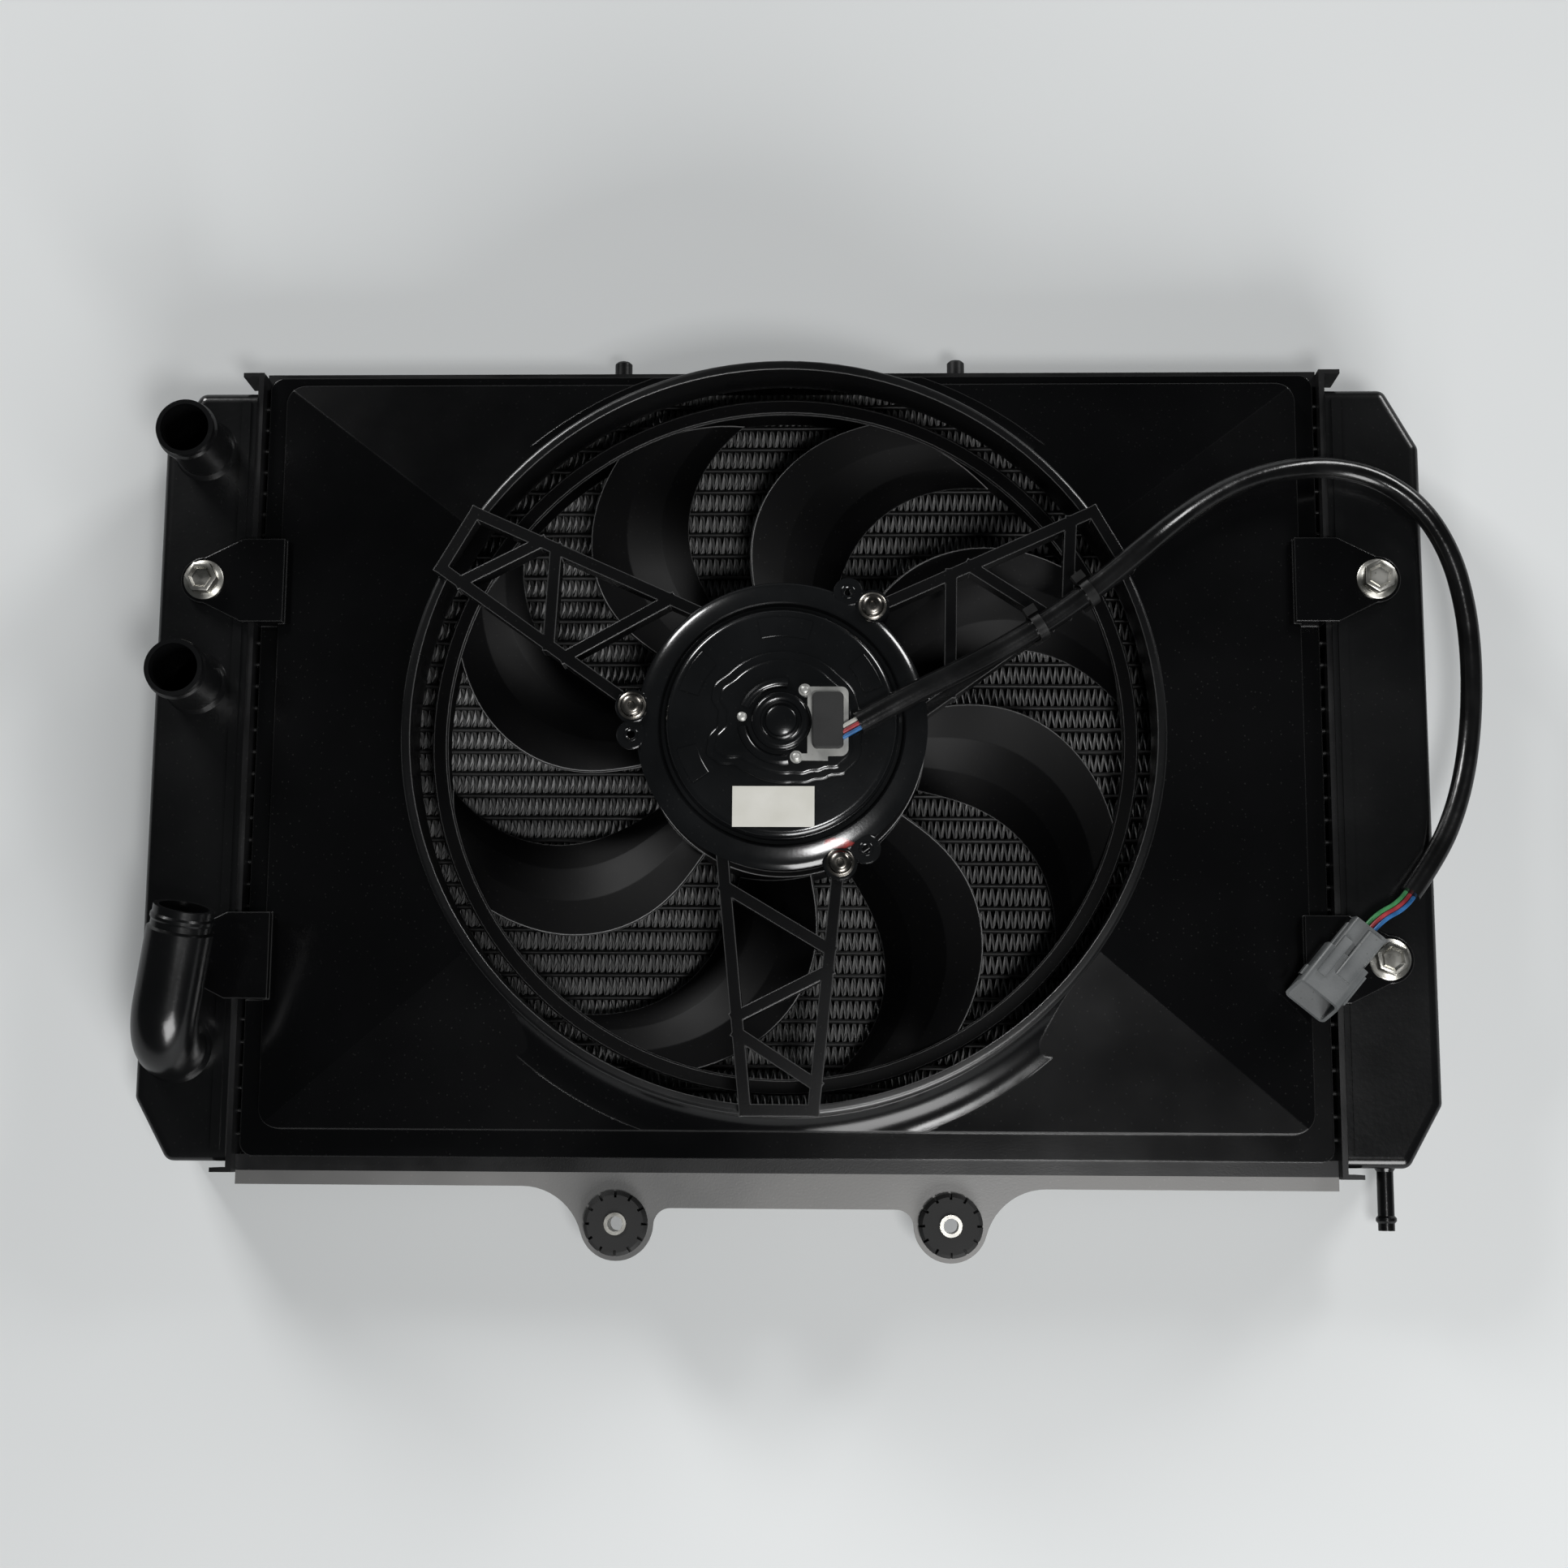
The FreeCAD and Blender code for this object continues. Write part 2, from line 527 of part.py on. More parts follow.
# Side plate: a channel with its back against the end fins
def side_plate(name, back, side):
    body = new_body(name)
    sketch = new_sketch(body, name + "_section", "YZ_Plane")
    inner = f"{back} + {side} * side_thickness"
    edge = f"{back} + {side} * side_leg"
    outline(sketch, [(back, "core_lift"), (edge, "core_lift"), (edge, "core_lift + side_thickness"),
                     (inner, "core_lift + side_thickness"), (inner, f"{CORE_TOP} - side_thickness"),
                     (edge, f"{CORE_TOP} - side_thickness"), (edge, CORE_TOP), (back, CORE_TOP)])
    pad(sketch, "2 * core_half", symmetric=True)
    return body


# Locating pin: a round pin on a riveted foot, standing in the top side plate
def locating_pin(name, side):
    foot_y = f"({CORE_HIGH_Y} + side_thickness)"
    length = f"(pin_tip_y - {foot_y})"
    points = [(0, 0), ("pin_foot_radius", 0), ("pin_foot_radius", "pin_foot"),
              ("pin_radius", "pin_foot"), ("pin_radius", f"{length} - 1"),
              ("pin_radius - 1", length), (0, length)]
    body = turned_body(name, points, f"{side} * pin_spacing / 2", foot_y, f"{CORE_TOP} - core_depth / 2")
    body.Placement.Rotation = FreeCAD.Rotation(FreeCAD.Vector(1, 0, 0), -90)
    return body


# Mounting bracket: an angle whose flat leg sweeps out into two round ears
def mounting_bracket():
    ear_x, ear_y, ear = size("ear_spacing / 2"), size("ear_y"), size("ear_radius")
    edge, middle, half = size("bracket_low_y"), size("bracket_mid_y"), size("core_half")
    back = size("core_low_y - side_leg")
    outer, inner = size("sweep_radius"), size("inner_sweep_radius")

    def sweep_start(level, radius):
        """How far from the ear's centre an outside fillet leaves the straight edge."""
        return math.sqrt((radius + ear) ** 2 - (level - radius - ear_y) ** 2)

    outer_x = ear_x + sweep_start(edge, outer)
    inner_x = ear_x - sweep_start(middle, inner)
    outer_centre = FreeCAD.Vector(outer_x, edge - outer, 0)
    inner_centre = FreeCAD.Vector(inner_x, middle - inner, 0)
    centre = FreeCAD.Vector(ear_x, ear_y, 0)

    def between(start, end, radius):
        """The point of a circle that faces another centre."""
        return start + (end - start).normalize() * radius

    def arc(circle_centre, radius, start, end):
        """A short arc of a circle between two of its points."""
        away = (start + end) / 2 - circle_centre
        return Part.Arc(start, circle_centre + away.normalize() * radius, end).toShape()

    outer_touch = between(centre, outer_centre, ear)
    inner_touch = between(centre, inner_centre, ear)
    bottom = centre + FreeCAD.Vector(0, -ear, 0)
    top_left = FreeCAD.Vector(0, back, 0)
    corners = [top_left, FreeCAD.Vector(half, back, 0), FreeCAD.Vector(half, edge, 0),
               FreeCAD.Vector(outer_x, edge, 0)]
    edges = [Part.LineSegment(a, b).toShape() for a, b in zip(corners, corners[1:])]
    edges.append(arc(outer_centre, outer, corners[3], outer_touch))
    edges.append(arc(centre, ear, outer_touch, bottom))
    edges.append(arc(centre, ear, bottom, inner_touch))
    inner_end = FreeCAD.Vector(inner_x, middle, 0)
    edges.append(arc(inner_centre, inner, inner_touch, inner_end))
    edges.append(Part.LineSegment(inner_end, FreeCAD.Vector(0, middle, 0)).toShape())
    edges.append(Part.LineSegment(FreeCAD.Vector(0, middle, 0), top_left).toShape())
    face = Part.Face(Part.Wire(edges))
    thick = size("bracket_thickness")
    flat = face.extrude(FreeCAD.Vector(0, 0, thick))
    flat = flat.fuse(flat.mirror(FreeCAD.Vector(0, 0, 0), FreeCAD.Vector(1, 0, 0))).removeSplitter()
    flat.translate(FreeCAD.Vector(0, 0, size(BRACKET_BASE)))
    web_height = size("bracket_web")
    web = Part.makeBox(2 * half, thick, web_height,
                       FreeCAD.Vector(-half, back - thick, size(CORE_TOP) - web_height))
    shape = flat.fuse(web).removeSplitter()
    for side in (-1, 1):
        hole = Part.makeCylinder(size("grommet_waist"), thick * 3,
                                 FreeCAD.Vector(side * ear_x, ear_y, size(BRACKET_BASE) - thick))
        shape = shape.cut(hole)
    return plain("mounting_bracket", shape.removeSplitter())


# Rubber grommet: a spool that grips the edge of the ear's hole, notched round its top lip
def grommet(name, side):
    half = "bracket_thickness / 2"
    lip = f"{half} + grommet_lip"
    points = [("collar_radius", f"-({lip})"), ("grommet_radius - 1.5", f"-({lip})"),
              ("grommet_radius", f"-({lip}) + 1.5"), ("grommet_radius", f"-({half})"),
              ("grommet_waist", f"-({half})"), ("grommet_waist", half), ("grommet_radius", half),
              ("grommet_radius", f"{lip} - 1.5"), ("grommet_radius - 1.5", lip), ("collar_radius", lip)]
    body = turned_body(name, points, f"{side} * ear_spacing / 2", "ear_y", f"{BRACKET_BASE} + {half}")
    notch = new_sketch(body, name + "_notch", "XY_Plane", lip)
    rectangle(notch, "grommet_radius - 2.6", "-grommet_notch / 2", "grommet_radius + 1", "grommet_notch / 2")
    feature = pocket(notch, "grommet_lip - 1")
    round_of([feature], body, "grommet_notches")
    return body


# Metal collar in a grommet, for the bolt that holds the radiator
def collar(name, side):
    half = "(bracket_thickness / 2 + grommet_lip + collar_proud)"
    points = [("collar_bore", f"-{half}"), ("collar_radius", f"-{half}"), ("collar_radius", half),
              ("collar_bore", half)]
    return turned_body(name, points, f"{side} * ear_spacing / 2", "ear_y",
                       f"{BRACKET_BASE} + bracket_thickness / 2")


BOLT_PLACES = (("upper", "tab_upper_y"), ("lower", "tab_lower_y"))


# Weld nut under the tank's wall, closed at its bottom so that the tank stays tight
def weld_nut(name, side, y):
    body = new_body(name, f"{side} * bolt_x", y, "tank_depth - tank_wall - nut_height")
    sketch = new_sketch(body, name + "_hex", "XY_Plane")
    hexagon(sketch, "nut_flats")
    pad(sketch, "nut_height")
    hole = new_sketch(body, name + "_hole", "XY_Plane", "nut_height")
    circle(hole, 0, 0, "bolt_radius")
    pocket(hole, "nut_height - 1.5")
    return body


# Flange bolt: shank, round flange and hexagon
def shroud_bolt(name, side, y):
    reach = f"({TAB_TOP} - tank_depth + tank_wall + bolt_reach - 2)"
    points = [(0, f"-{reach}"), ("bolt_radius", f"-{reach}"), ("bolt_radius", 0),
              ("bolt_washer_radius", 0), ("bolt_washer_radius", "bolt_washer / 2"),
              ("bolt_flats / 2", "bolt_washer"), (0, "bolt_washer")]
    body = turned_body(name, points, f"{side} * bolt_x", y, TAB_TOP)
    sketch = new_sketch(body, name + "_hex", "XY_Plane", "bolt_washer")
    hexagon(sketch, "bolt_flats")
    pad(sketch, "bolt_head")
    return body


# The solid inside the shroud's outer or inner skin: a stepped pan with four sloping
# roof faces, and a ring that flares out into them
def shroud_skin(name, back):
    clip = new_body(name + "_clip", 0, "fan_axis_y", CORE_TOP)
    sketch = new_sketch(clip, name + "_plan", "XY_Plane")
    half_x, half_y = f"(pan_half_x - {back})", f"(pan_half_y - {back})"
    rectangle(sketch, f"-{half_x}", f"-{half_y}", half_x, half_y)
    height = f"({RING_HEIGHT} + 1)" if back != "0" else RING_HEIGHT
    pad(sketch, height)
    soften(clip, f"pan_corner - {back}", lambda edge: abs(edge.tangentAt(edge.FirstParameter).z) > 0.9)
    step = f"({CORE_TOP} + pan_step - {back})"
    low = block(name + "_step", (f"-{half_x}", f"fan_axis_y - {half_y}", CORE_TOP),
                (half_x, f"fan_axis_y + {half_y}", step))
    roof = doc.addObject("Part::Wedge", name + "_roof")
    # the wedge's own Y is its height, so it is stood up on its end
    roof.Placement.Rotation = FreeCAD.Rotation(FreeCAD.Vector(1, 0, 0), 90)
    for key, text in (("Xmin", f"-{half_x}"), ("Xmax", half_x), ("Zmin", f"-{half_y}"), ("Zmax", half_y),
                      ("X2min", f"-({half_x} - roof_inset_x)"), ("X2max", f"{half_x} - roof_inset_x"),
                      ("Z2min", f"-({half_y} - roof_inset_y)"), ("Z2max", f"{half_y} - roof_inset_y"),
                      ("Ymin", 0), ("Ymax", "roof_rise"),
                      ("Placement.Base.y", "fan_axis_y"), ("Placement.Base.z", step)):
        roof.setExpression(key, bound(text))
    radius = f"(ring_radius - {back})"
    flare = f"(flare_radius + {back})"
    start = f"({RING_HEIGHT} - flare_radius - rim_radius * 2 - 0.2)"
    points = [(0, 0), (f"{radius} + {flare}", 0), (f"{radius} + {flare}", f"{start} - {flare}"),
              (radius, start, flare, -1), (radius, height), (0, height)]
    ring = turned_body(name + "_ring", points, 0, "fan_axis_y", CORE_TOP)
    return shared(name, [clip, fused(name + "_whole", [low, roof, ring])])


# Fixing tab: a hollow box on the flange with a plate that reaches over the tank to its bolt
def shroud_tab(name, side, y):
    body = new_body(name, 0, y, 0)
    plan = new_sketch(body, name + "_plan", "XY_Plane", TAB_BASE)
    nose = "tab_nose"
    outline(plan, [(f"{side} * tab_inner_x", "-tab_half"), (f"{side} * (tab_box_x + 6)", "-tab_half"),
                   (f"{side} * bolt_x", f"-{nose}"), (f"{side} * bolt_x", nose, nose, side),
                   (f"{side} * (tab_box_x + 6)", "tab_half"), (f"{side} * tab_inner_x", "tab_half")])
    pad(plan, "tab_thickness")
    box = new_sketch(body, name + "_box", "XY_Plane", CORE_TOP)
    rectangle(box, f"{side} * tab_inner_x", "-tab_half", f"{side} * tab_box_x", "tab_half")
    pad(box, f"{TAB_BASE} - {CORE_TOP}")
    boss = new_sketch(body, name + "_boss", "XY_Plane", "tank_depth")
    circle(boss, f"{side} * bolt_x", 0, "bolt_washer_radius")
    pad(boss, "tab_lift")
    hollow = new_sketch(body, name + "_hollow", "XY_Plane", TAB_BASE)
    rectangle(hollow, f"{side} * (tab_inner_x + shroud_wall)", "-(tab_half - shroud_wall)",
              f"{side} * (tab_box_x - shroud_wall)", "tab_half - shroud_wall")
    pocket(hollow, f"{TAB_BASE} - {CORE_TOP} - shroud_wall")
    hole = new_sketch(body, name + "_hole", "XY_Plane", TAB_TOP)
    circle(hole, f"{side} * bolt_x", 0, "bolt_radius + bolt_gap")
    pocket(hole, "tab_thickness + tab_lift")
    return body


# Fan shroud: flange, pan and four fixing tabs, with the flared ring and its rolled rim as a
# node of its own, which meets the pan on a round wall just outside the ring
def fan_shroud():
    flange = new_body("shroud_flange", 0, 0, CORE_TOP)
    sketch = new_sketch(flange, "shroud_flange_plan", "XY_Plane")
    rectangle(sketch, "-flange_half", "flange_low_y", "flange_half", "flange_high_y")
    pad(sketch, "shroud_wall")
    soften(flange, "flange_corner", lambda edge: abs(edge.tangentAt(edge.FirstParameter).z) > 0.9)
    rim = doc.addObject("Part::Torus", "shroud_rim")
    rim.setExpression("Radius1", bound("ring_radius - rim_radius + 1.8"))
    rim.setExpression("Radius2", bound("rim_radius"))
    rim.setExpression("Placement.Base.y", bound("fan_axis_y"))
    rim.setExpression("Placement.Base.z", bound(f"{RIM_Z} - rim_radius"))
    tabs = [shroud_tab(f"shroud_tab_{end}_{word}", side, y)
            for end, y in BOLT_PLACES for word, side in (("left", -1), ("right", 1))]
    outer = fused("shroud_outer", [flange, shroud_skin("shroud_outside", "0"), rim] + tabs)
    whole = cut("shroud_whole", outer, shroud_skin("shroud_inside", "shroud_wall"))
    core = doc.addObject("Part::Cylinder", "shroud_core")
    core.setExpression("Radius", bound("ring_radius + ring_margin"))
    core.setExpression("Height", bound(f"{RING_HEIGHT} + ring_margin"))
    core.setExpression("Placement.Base.y", bound("fan_axis_y"))
    core.setExpression("Placement.Base.z", bound(CORE_TOP))
    pan = cut("fan_shroud", whole, core)
    ring = shared("shroud_ring", [whole, core])
    pan.Label = "fan_shroud"
    ring.Label = "shroud_ring"
    return pan, ring


# Motor stay: a ring under the motor's flange, three screw bosses and three lattice arms
def motor_stay():
    top, depth, width = size(STAY_TOP), size("stay_depth"), size("rib_width")
    base = top - depth
    rim = size(RIM_Z)
    radius, wall = size(STAY_RING), size("stay_ring_wall")
    root, end = size(f"{STAY_RING} - arm_sink"), size("ring_radius - arm_short")
    root_half, end_half = size("arm_root_half"), size("arm_end_half")

    def rail(along, side):
        """A point on one long rib's centre line, the arm lying along +X."""
        share = (along - root) / (end - root)
        return FreeCAD.Vector(along, side * (root_half + (end_half - root_half) * share), 0)

    def rib(start, finish, low=base, high=top):
        """A straight rib of the lattice between two points."""
        along = (finish - start).normalize() * (width / 2)
        across = FreeCAD.Vector(-along.y, along.x, 0)
        a, b = start - along, finish + along
        corners = [a + across, a - across, b - across, b + across, a + across]
        prism = Part.Face(Part.makePolygon(corners)).extrude(FreeCAD.Vector(0, 0, high - low))
        prism.translate(FreeCAD.Vector(0, 0, low))
        return prism

    step = (end - root) / 6
    arm = [rib(rail(root, -1), rail(end, -1)), rib(rail(root, 1), rail(end, 1)),
           rib(rail(end, -1), rail(end, 1)),
           rib(rail(root + 0.7 * step, -1), rail(root + 2.2 * step, 1)),
           rib(rail(root + 2.7 * step, 1), rail(root + 3.8 * step, -1)),
           rib(rail(root + 4.2 * step, -1), rail(root + 5.4 * step, 1))]
    arm = arm[0].multiFuse(arm[1:])
    # the part of the arm that lies over the shroud's ring is cut down to stand on its rim
    over_rim = Part.makeCylinder(end * 2, rim - base).cut(
        Part.makeCylinder(size("ring_radius - shroud_wall - 1.2"), rim - base))
    over_rim.translate(FreeCAD.Vector(0, 0, base))
    arm = arm.cut(over_rim)
    boss_circle = size(EAR_CIRCLE)
    pieces = [Part.makeCylinder(radius, depth, FreeCAD.Vector(0, 0, base))]
    for number in range(3):
        turned = arm.copy()
        turned.rotate(FreeCAD.Vector(0, 0, 0), FreeCAD.Vector(0, 0, 1), 30 + 120 * number)
        pieces.append(turned)
        angle = math.radians(size("ear_angle") + 120 * number)
        place = FreeCAD.Vector(boss_circle * math.cos(angle), boss_circle * math.sin(angle), base)
        pieces.append(Part.makeCylinder(size("boss_radius"), depth, place))
    shape = pieces[0].multiFuse(pieces[1:])
    shape = shape.cut(Part.makeCylinder(radius - wall, depth * 3, FreeCAD.Vector(0, 0, base - depth)))
    for number in range(3):
        angle = math.radians(size("ear_angle") + 120 * number)
        place = FreeCAD.Vector(boss_circle * math.cos(angle), boss_circle * math.sin(angle),
                               top - size("screw_length"))
        shape = shape.cut(Part.makeCylinder(size("screw_radius"), depth * 2, place))
    shape = shape.removeSplitter()
    shape.translate(FreeCAD.Vector(0, size("fan_axis_y"), 0))
    return plain("motor_stay", shape)


# Motor cover: a pressed disc with a flange, a groove, a raised dome and three ears
def motor_cover():
    body = new_body("motor_cover", 0, "fan_axis_y", STAY_TOP)
    section = new_sketch(body, "cover_section", "XZ_Plane")
    sheet_top = "cover_sheet"
    dome = "(cover_sheet + dome_height)"
    bore = "(bearing_radius)"
    outline(section, [
        (bore, "dome_height + island_height"), (bore, f"{dome} + island_height"),
        ("island_radius - 2", f"{dome} + island_height"), ("island_radius", dome),
        (f"{DOME_RADIUS} - dome_corner", dome), (DOME_RADIUS, f"{dome} - dome_corner", "dome_corner", -1),
        (DOME_RADIUS, sheet_top), (GROOVE_RADIUS, sheet_top), (f"{GROOVE_RADIUS} + 1", "cover_sheet + 0.6"),
        (f"{COVER_RADIUS} - 1", "cover_sheet + 0.6"), (COVER_RADIUS, "cover_sheet"), (COVER_RADIUS, 0),
        (f"{DOME_RADIUS} - cover_sheet", 0), (f"{DOME_RADIUS} - cover_sheet", "dome_height - dome_corner"),
        (f"{DOME_RADIUS} - dome_corner - 1", "dome_height"), ("island_radius - 3", "dome_height"),
        ("island_radius - 5", "dome_height + island_height")])
    turn(section)
    ears = new_sketch(body, "cover_ear", "XY_Plane")
    turned = "(ear_angle + ear_hole_turn)"
    screw = (f"{EAR_CIRCLE} * cos(ear_angle * 1 deg)", f"{EAR_CIRCLE} * sin(ear_angle * 1 deg)")
    pin = (f"{EAR_CIRCLE} * cos({turned} * 1 deg)", f"{EAR_CIRCLE} * sin({turned} * 1 deg)")
    circle(ears, screw[0], screw[1], "ear_lobe")
    first = pad(ears, "cover_sheet")
    pins = new_sketch(body, "cover_pin_ear", "XY_Plane")
    circle(pins, pin[0], pin[1], "ear_lobe - 1")
    second = pad(pins, "cover_sheet")
    round_of([first, second], body, 3)
    holes = new_sketch(body, "cover_holes", "XY_Plane", "cover_sheet * 2")
    circle(holes, screw[0], screw[1], "screw_radius")
    circle(holes, pin[0], pin[1], "ear_hole")
    feature = pocket(holes, "cover_sheet * 3")
    seats = new_sketch(body, "cover_screw_seats", "XY_Plane", "cover_sheet + 1")
    circle(seats, screw[0], screw[1], "screw_head_radius + screw_seat")
    flat = pocket(seats, 1)
    round_of([feature, flat], body, 3)
    return body


# Motor can: a drawn cup whose nose holds the front bearing
def motor_can():
    nose = "nose_length"
    inner = "(can_radius - can_wall)"
    points = [("shaft_radius + 1.5", f"-{nose}"), ("bearing_radius + can_wall", f"-{nose}"),
              ("bearing_radius + can_wall", 0), ("can_radius - 3", 0), ("can_radius", 3, 3, 1),
              ("can_radius", "can_length"), (inner, "can_length"), (inner, "can_wall"),
              ("bearing_radius", "can_wall"), ("bearing_radius", f"can_wall - {nose}"),
              ("shaft_radius + 1.5", f"can_wall - {nose}")]
    return turned_body("motor_can", points, 0, "fan_axis_y", f"{STAY_TOP} - can_length")


# Two curved magnets against the can's wall
def motor_magnets():
    low = f"({STAY_TOP} - can_length + can_wall + 3)"
    radius = "(can_radius - can_wall)"
    ring = turned_body("magnet_ring", [(f"{radius} - magnet_thickness", 0), (radius, 0),
                                       (radius, "magnet_length"),
                                       (f"{radius} - magnet_thickness", "magnet_length")],
                       0, "fan_axis_y", low)
    gap = block("magnet_space", ("-magnet_gap / 2", "fan_axis_y - can_radius - 1", f"{low} - 1"),
                ("magnet_gap / 2", "fan_axis_y + can_radius + 1", f"{low} + magnet_length + 1"))
    return cut("motor_magnets", ring, gap)


# Armature: a slotted stack of laminations on the shaft
def armature():
    body = new_body("armature", 0, "fan_axis_y", f"{STAY_TOP} - can_length + can_wall + 6")
    radius = "(can_radius - can_wall - magnet_thickness - air_gap)"
    sketch = new_sketch(body, "armature_plan", "XY_Plane")
    circle(sketch, 0, 0, radius)
    circle(sketch, 0, 0, "shaft_radius")
    pad(sketch, "armature_length")
    slot = new_sketch(body, "armature_slot", "XY_Plane", "armature_length")
    rectangle(slot, f"{radius} - slot_depth", "-slot_width / 2", f"{radius} + 1", "slot_width / 2")
    feature = pocket(slot, "armature_length")
    round_of([feature], body, "armature_slots")
    return body


# Commutator: a copper ring on the shaft above the armature
def commutator():
    base = f"{STAY_TOP} - can_length + can_wall + 6 + armature_length"
    points = [("shaft_radius", 0), ("commutator_radius", 0), ("commutator_radius", "commutator_length"),
              ("shaft_radius", "commutator_length")]
    return turned_body("commutator", points, 0, "fan_axis_y", base)


# Brush plate: a ring across the can's mouth with two brushes
def brush_plate():
    body = new_body("brush_plate", 0, "fan_axis_y", f"{STAY_TOP} - brush_plate - 1")
    sketch = new_sketch(body, "brush_ring", "XY_Plane")
    circle(sketch, 0, 0, "can_radius - can_wall")
    circle(sketch, 0, 0, "commutator_radius + 6")
    pad(sketch, "brush_plate")
    for word, side in (("left", -1), ("right", 1)):
        brush = new_sketch(body, f"brush_{word}", "XY_Plane")
        rectangle(brush, f"{side} * (commutator_radius + 0.3)", "-brush_width / 2",
                  f"{side} * (commutator_radius + 16)", "brush_width / 2")
        pad(brush, "brush_plate + 2")
    return body


# Shaft bearing: a plain ring that the shaft runs in
def bearing(name, z):
    points = [("shaft_radius + running_gap", 0), ("bearing_radius", 0),
              ("bearing_radius", "bearing_width"), ("shaft_radius + running_gap", "bearing_width")]
    return turned_body(name, points, 0, "fan_axis_y", z)


# Bearing cap in the middle of the cover, with its stepped collar
def bearing_cap():
    points = [(0, 0), ("cap_radius", 0), ("cap_radius", "cap_height - 1"),
              ("cap_radius - 1", "cap_height"), ("cap_radius - 4", "cap_height"),
              ("cap_radius - 5", "cap_height - 0.8"), (0, "cap_height - 0.8")]
    return turned_body("bearing_cap", points, 0, "fan_axis_y", PLATE_BASE)


# Shaft: from the nut below the hub, through both bearings, to the cover
def motor_shaft():
    top = f"({PLATE_BASE} - 0.6)"
    points = [(0, 0), ("shaft_radius - 0.6", 0), ("shaft_radius", 0.6),
              ("shaft_radius", f"{top} - {SHAFT_TIP}"), (0, f"{top} - {SHAFT_TIP}")]
    return turned_body("motor_shaft", points, 0, "fan_axis_y", SHAFT_TIP)


# Nut that clamps the hub on the shaft
def fan_nut():
    body = new_body("fan_nut", 0, "fan_axis_y", f"{HUB_LOW} - hub_foot - fan_nut_height")
    sketch = new_sketch(body, "fan_nut_hex", "XY_Plane")
    hexagon(sketch, "bolt_flats")
    circle(sketch, 0, 0, "shaft_radius")
    pad(sketch, "fan_nut_height")
    return body


# Terminal plate: a bright plate that clears the bearing cap, with a lug for each of two rivets
def terminal_plate():
    body = new_body("terminal_plate", 0, "fan_axis_y", PLATE_BASE)
    sketch = new_sketch(body, "terminal_plan", "XY_Plane")
    left, right = "plate_x - plate_half_x", "plate_x + plate_half_x"
    rectangle(sketch, left, "-plate_half_y", right, "plate_half_y")
    pad(sketch, "plate_thickness")
    soften(body, 3, lambda edge: edge.BoundBox.XMin > size("plate_x") and edge.BoundBox.ZLength > 0.1
           and edge.BoundBox.YLength < 0.1)
    clear = new_sketch(body, "terminal_clearance", "XY_Plane", "plate_thickness")
    circle(clear, 0, 0, "cap_radius + cap_gap")
    pocket(clear, "plate_thickness")
    for word, angle in (("upper", "ear_angle"), ("lower", "(ear_angle - 120)")):
        lug = new_sketch(body, f"terminal_lug_{word}", "XY_Plane")
        x = f"rivet_circle * cos({angle} * 1 deg)"
        y = f"rivet_circle * sin({angle} * 1 deg)"
        circle(lug, x, y, "rivet_radius + 0.6")
        pad(lug, "plate_thickness")
        arm = new_sketch(body, f"terminal_arm_{word}", "XY_Plane")
        rectangle(arm, x, f"{y} - 1.4", "plate_x", f"{y} + 1.4")
        pad(arm, "plate_thickness")
    return body


# Black block grommet that the wires leave the motor through
def wire_grommet():
    body = new_body("wire_grommet", "plate_x", "fan_axis_y", f"{PLATE_BASE} + plate_thickness")
    sketch = new_sketch(body, "wire_grommet_plan", "XY_Plane")
    rectangle(sketch, "-gland_half_x", "-gland_half_y", "gland_half_x", "gland_half_y")
    pad(sketch, "gland_height")
    soften(body, 2.2, lambda edge: edge.BoundBox.ZLength > 1)
    top = body.Tip.Shape.BoundBox.ZMax - 0.1
    soften(body, 0.7, lambda edge: edge.BoundBox.ZMin > top)
    return body


# Domed head for rivets and motor screws, on a shank where it has a length
def dome_fastener(name, head_radius, head, shank, length, angle, circle_radius, z):
    x = f"{circle_radius} * cos(({angle}) * 1 deg)"
    y = f"fan_axis_y + {circle_radius} * sin(({angle}) * 1 deg)"
    points = [(head_radius, 0), (head_radius, f"{head} * 0.3"), (f"{head_radius} * 0.75", f"{head} * 0.8"),
              (f"{head_radius} * 0.4", head), (0, head)]
    if length:
        points = [(0, f"-{length}"), (shank, f"-{length}"), (shank, 0)] + points
    else:
        points = [(0, 0)] + points
    return turned_body(name, points, x, y, z)


def rivets():
    members = []
    for number, lift in enumerate(("plate_thickness", "0", "plate_thickness")):
        members.append(dome_fastener(f"rivet{number}", "rivet_radius", "rivet_height", "", "",
                                     f"ear_angle + {120 * number}", "rivet_circle", f"{PLATE_BASE} + {lift}"))
    return group("rivets", members)


def motor_screws():
    members = []
    for number in range(3):
        members.append(dome_fastener(f"motor_screw{number}", "screw_head_radius", "screw_head", "screw_radius",
                                     "screw_length", f"ear_angle + {120 * number}", EAR_CIRCLE, COVER_TOP))
    return group("motor_screws", members)


# Bare pale rectangle stuck on the dome
def blank_patch():
    half = "blank_length / 2"
    middle = f"fan_axis_y - {DOME_RADIUS} + blank_margin"
    return block("blank_patch", (f"-({half}) - 3", f"{middle} - blank_width / 2", DOME_TOP),
                 (f"{half} - 3", f"{middle} + blank_width / 2", f"{DOME_TOP} + blank_thickness"))


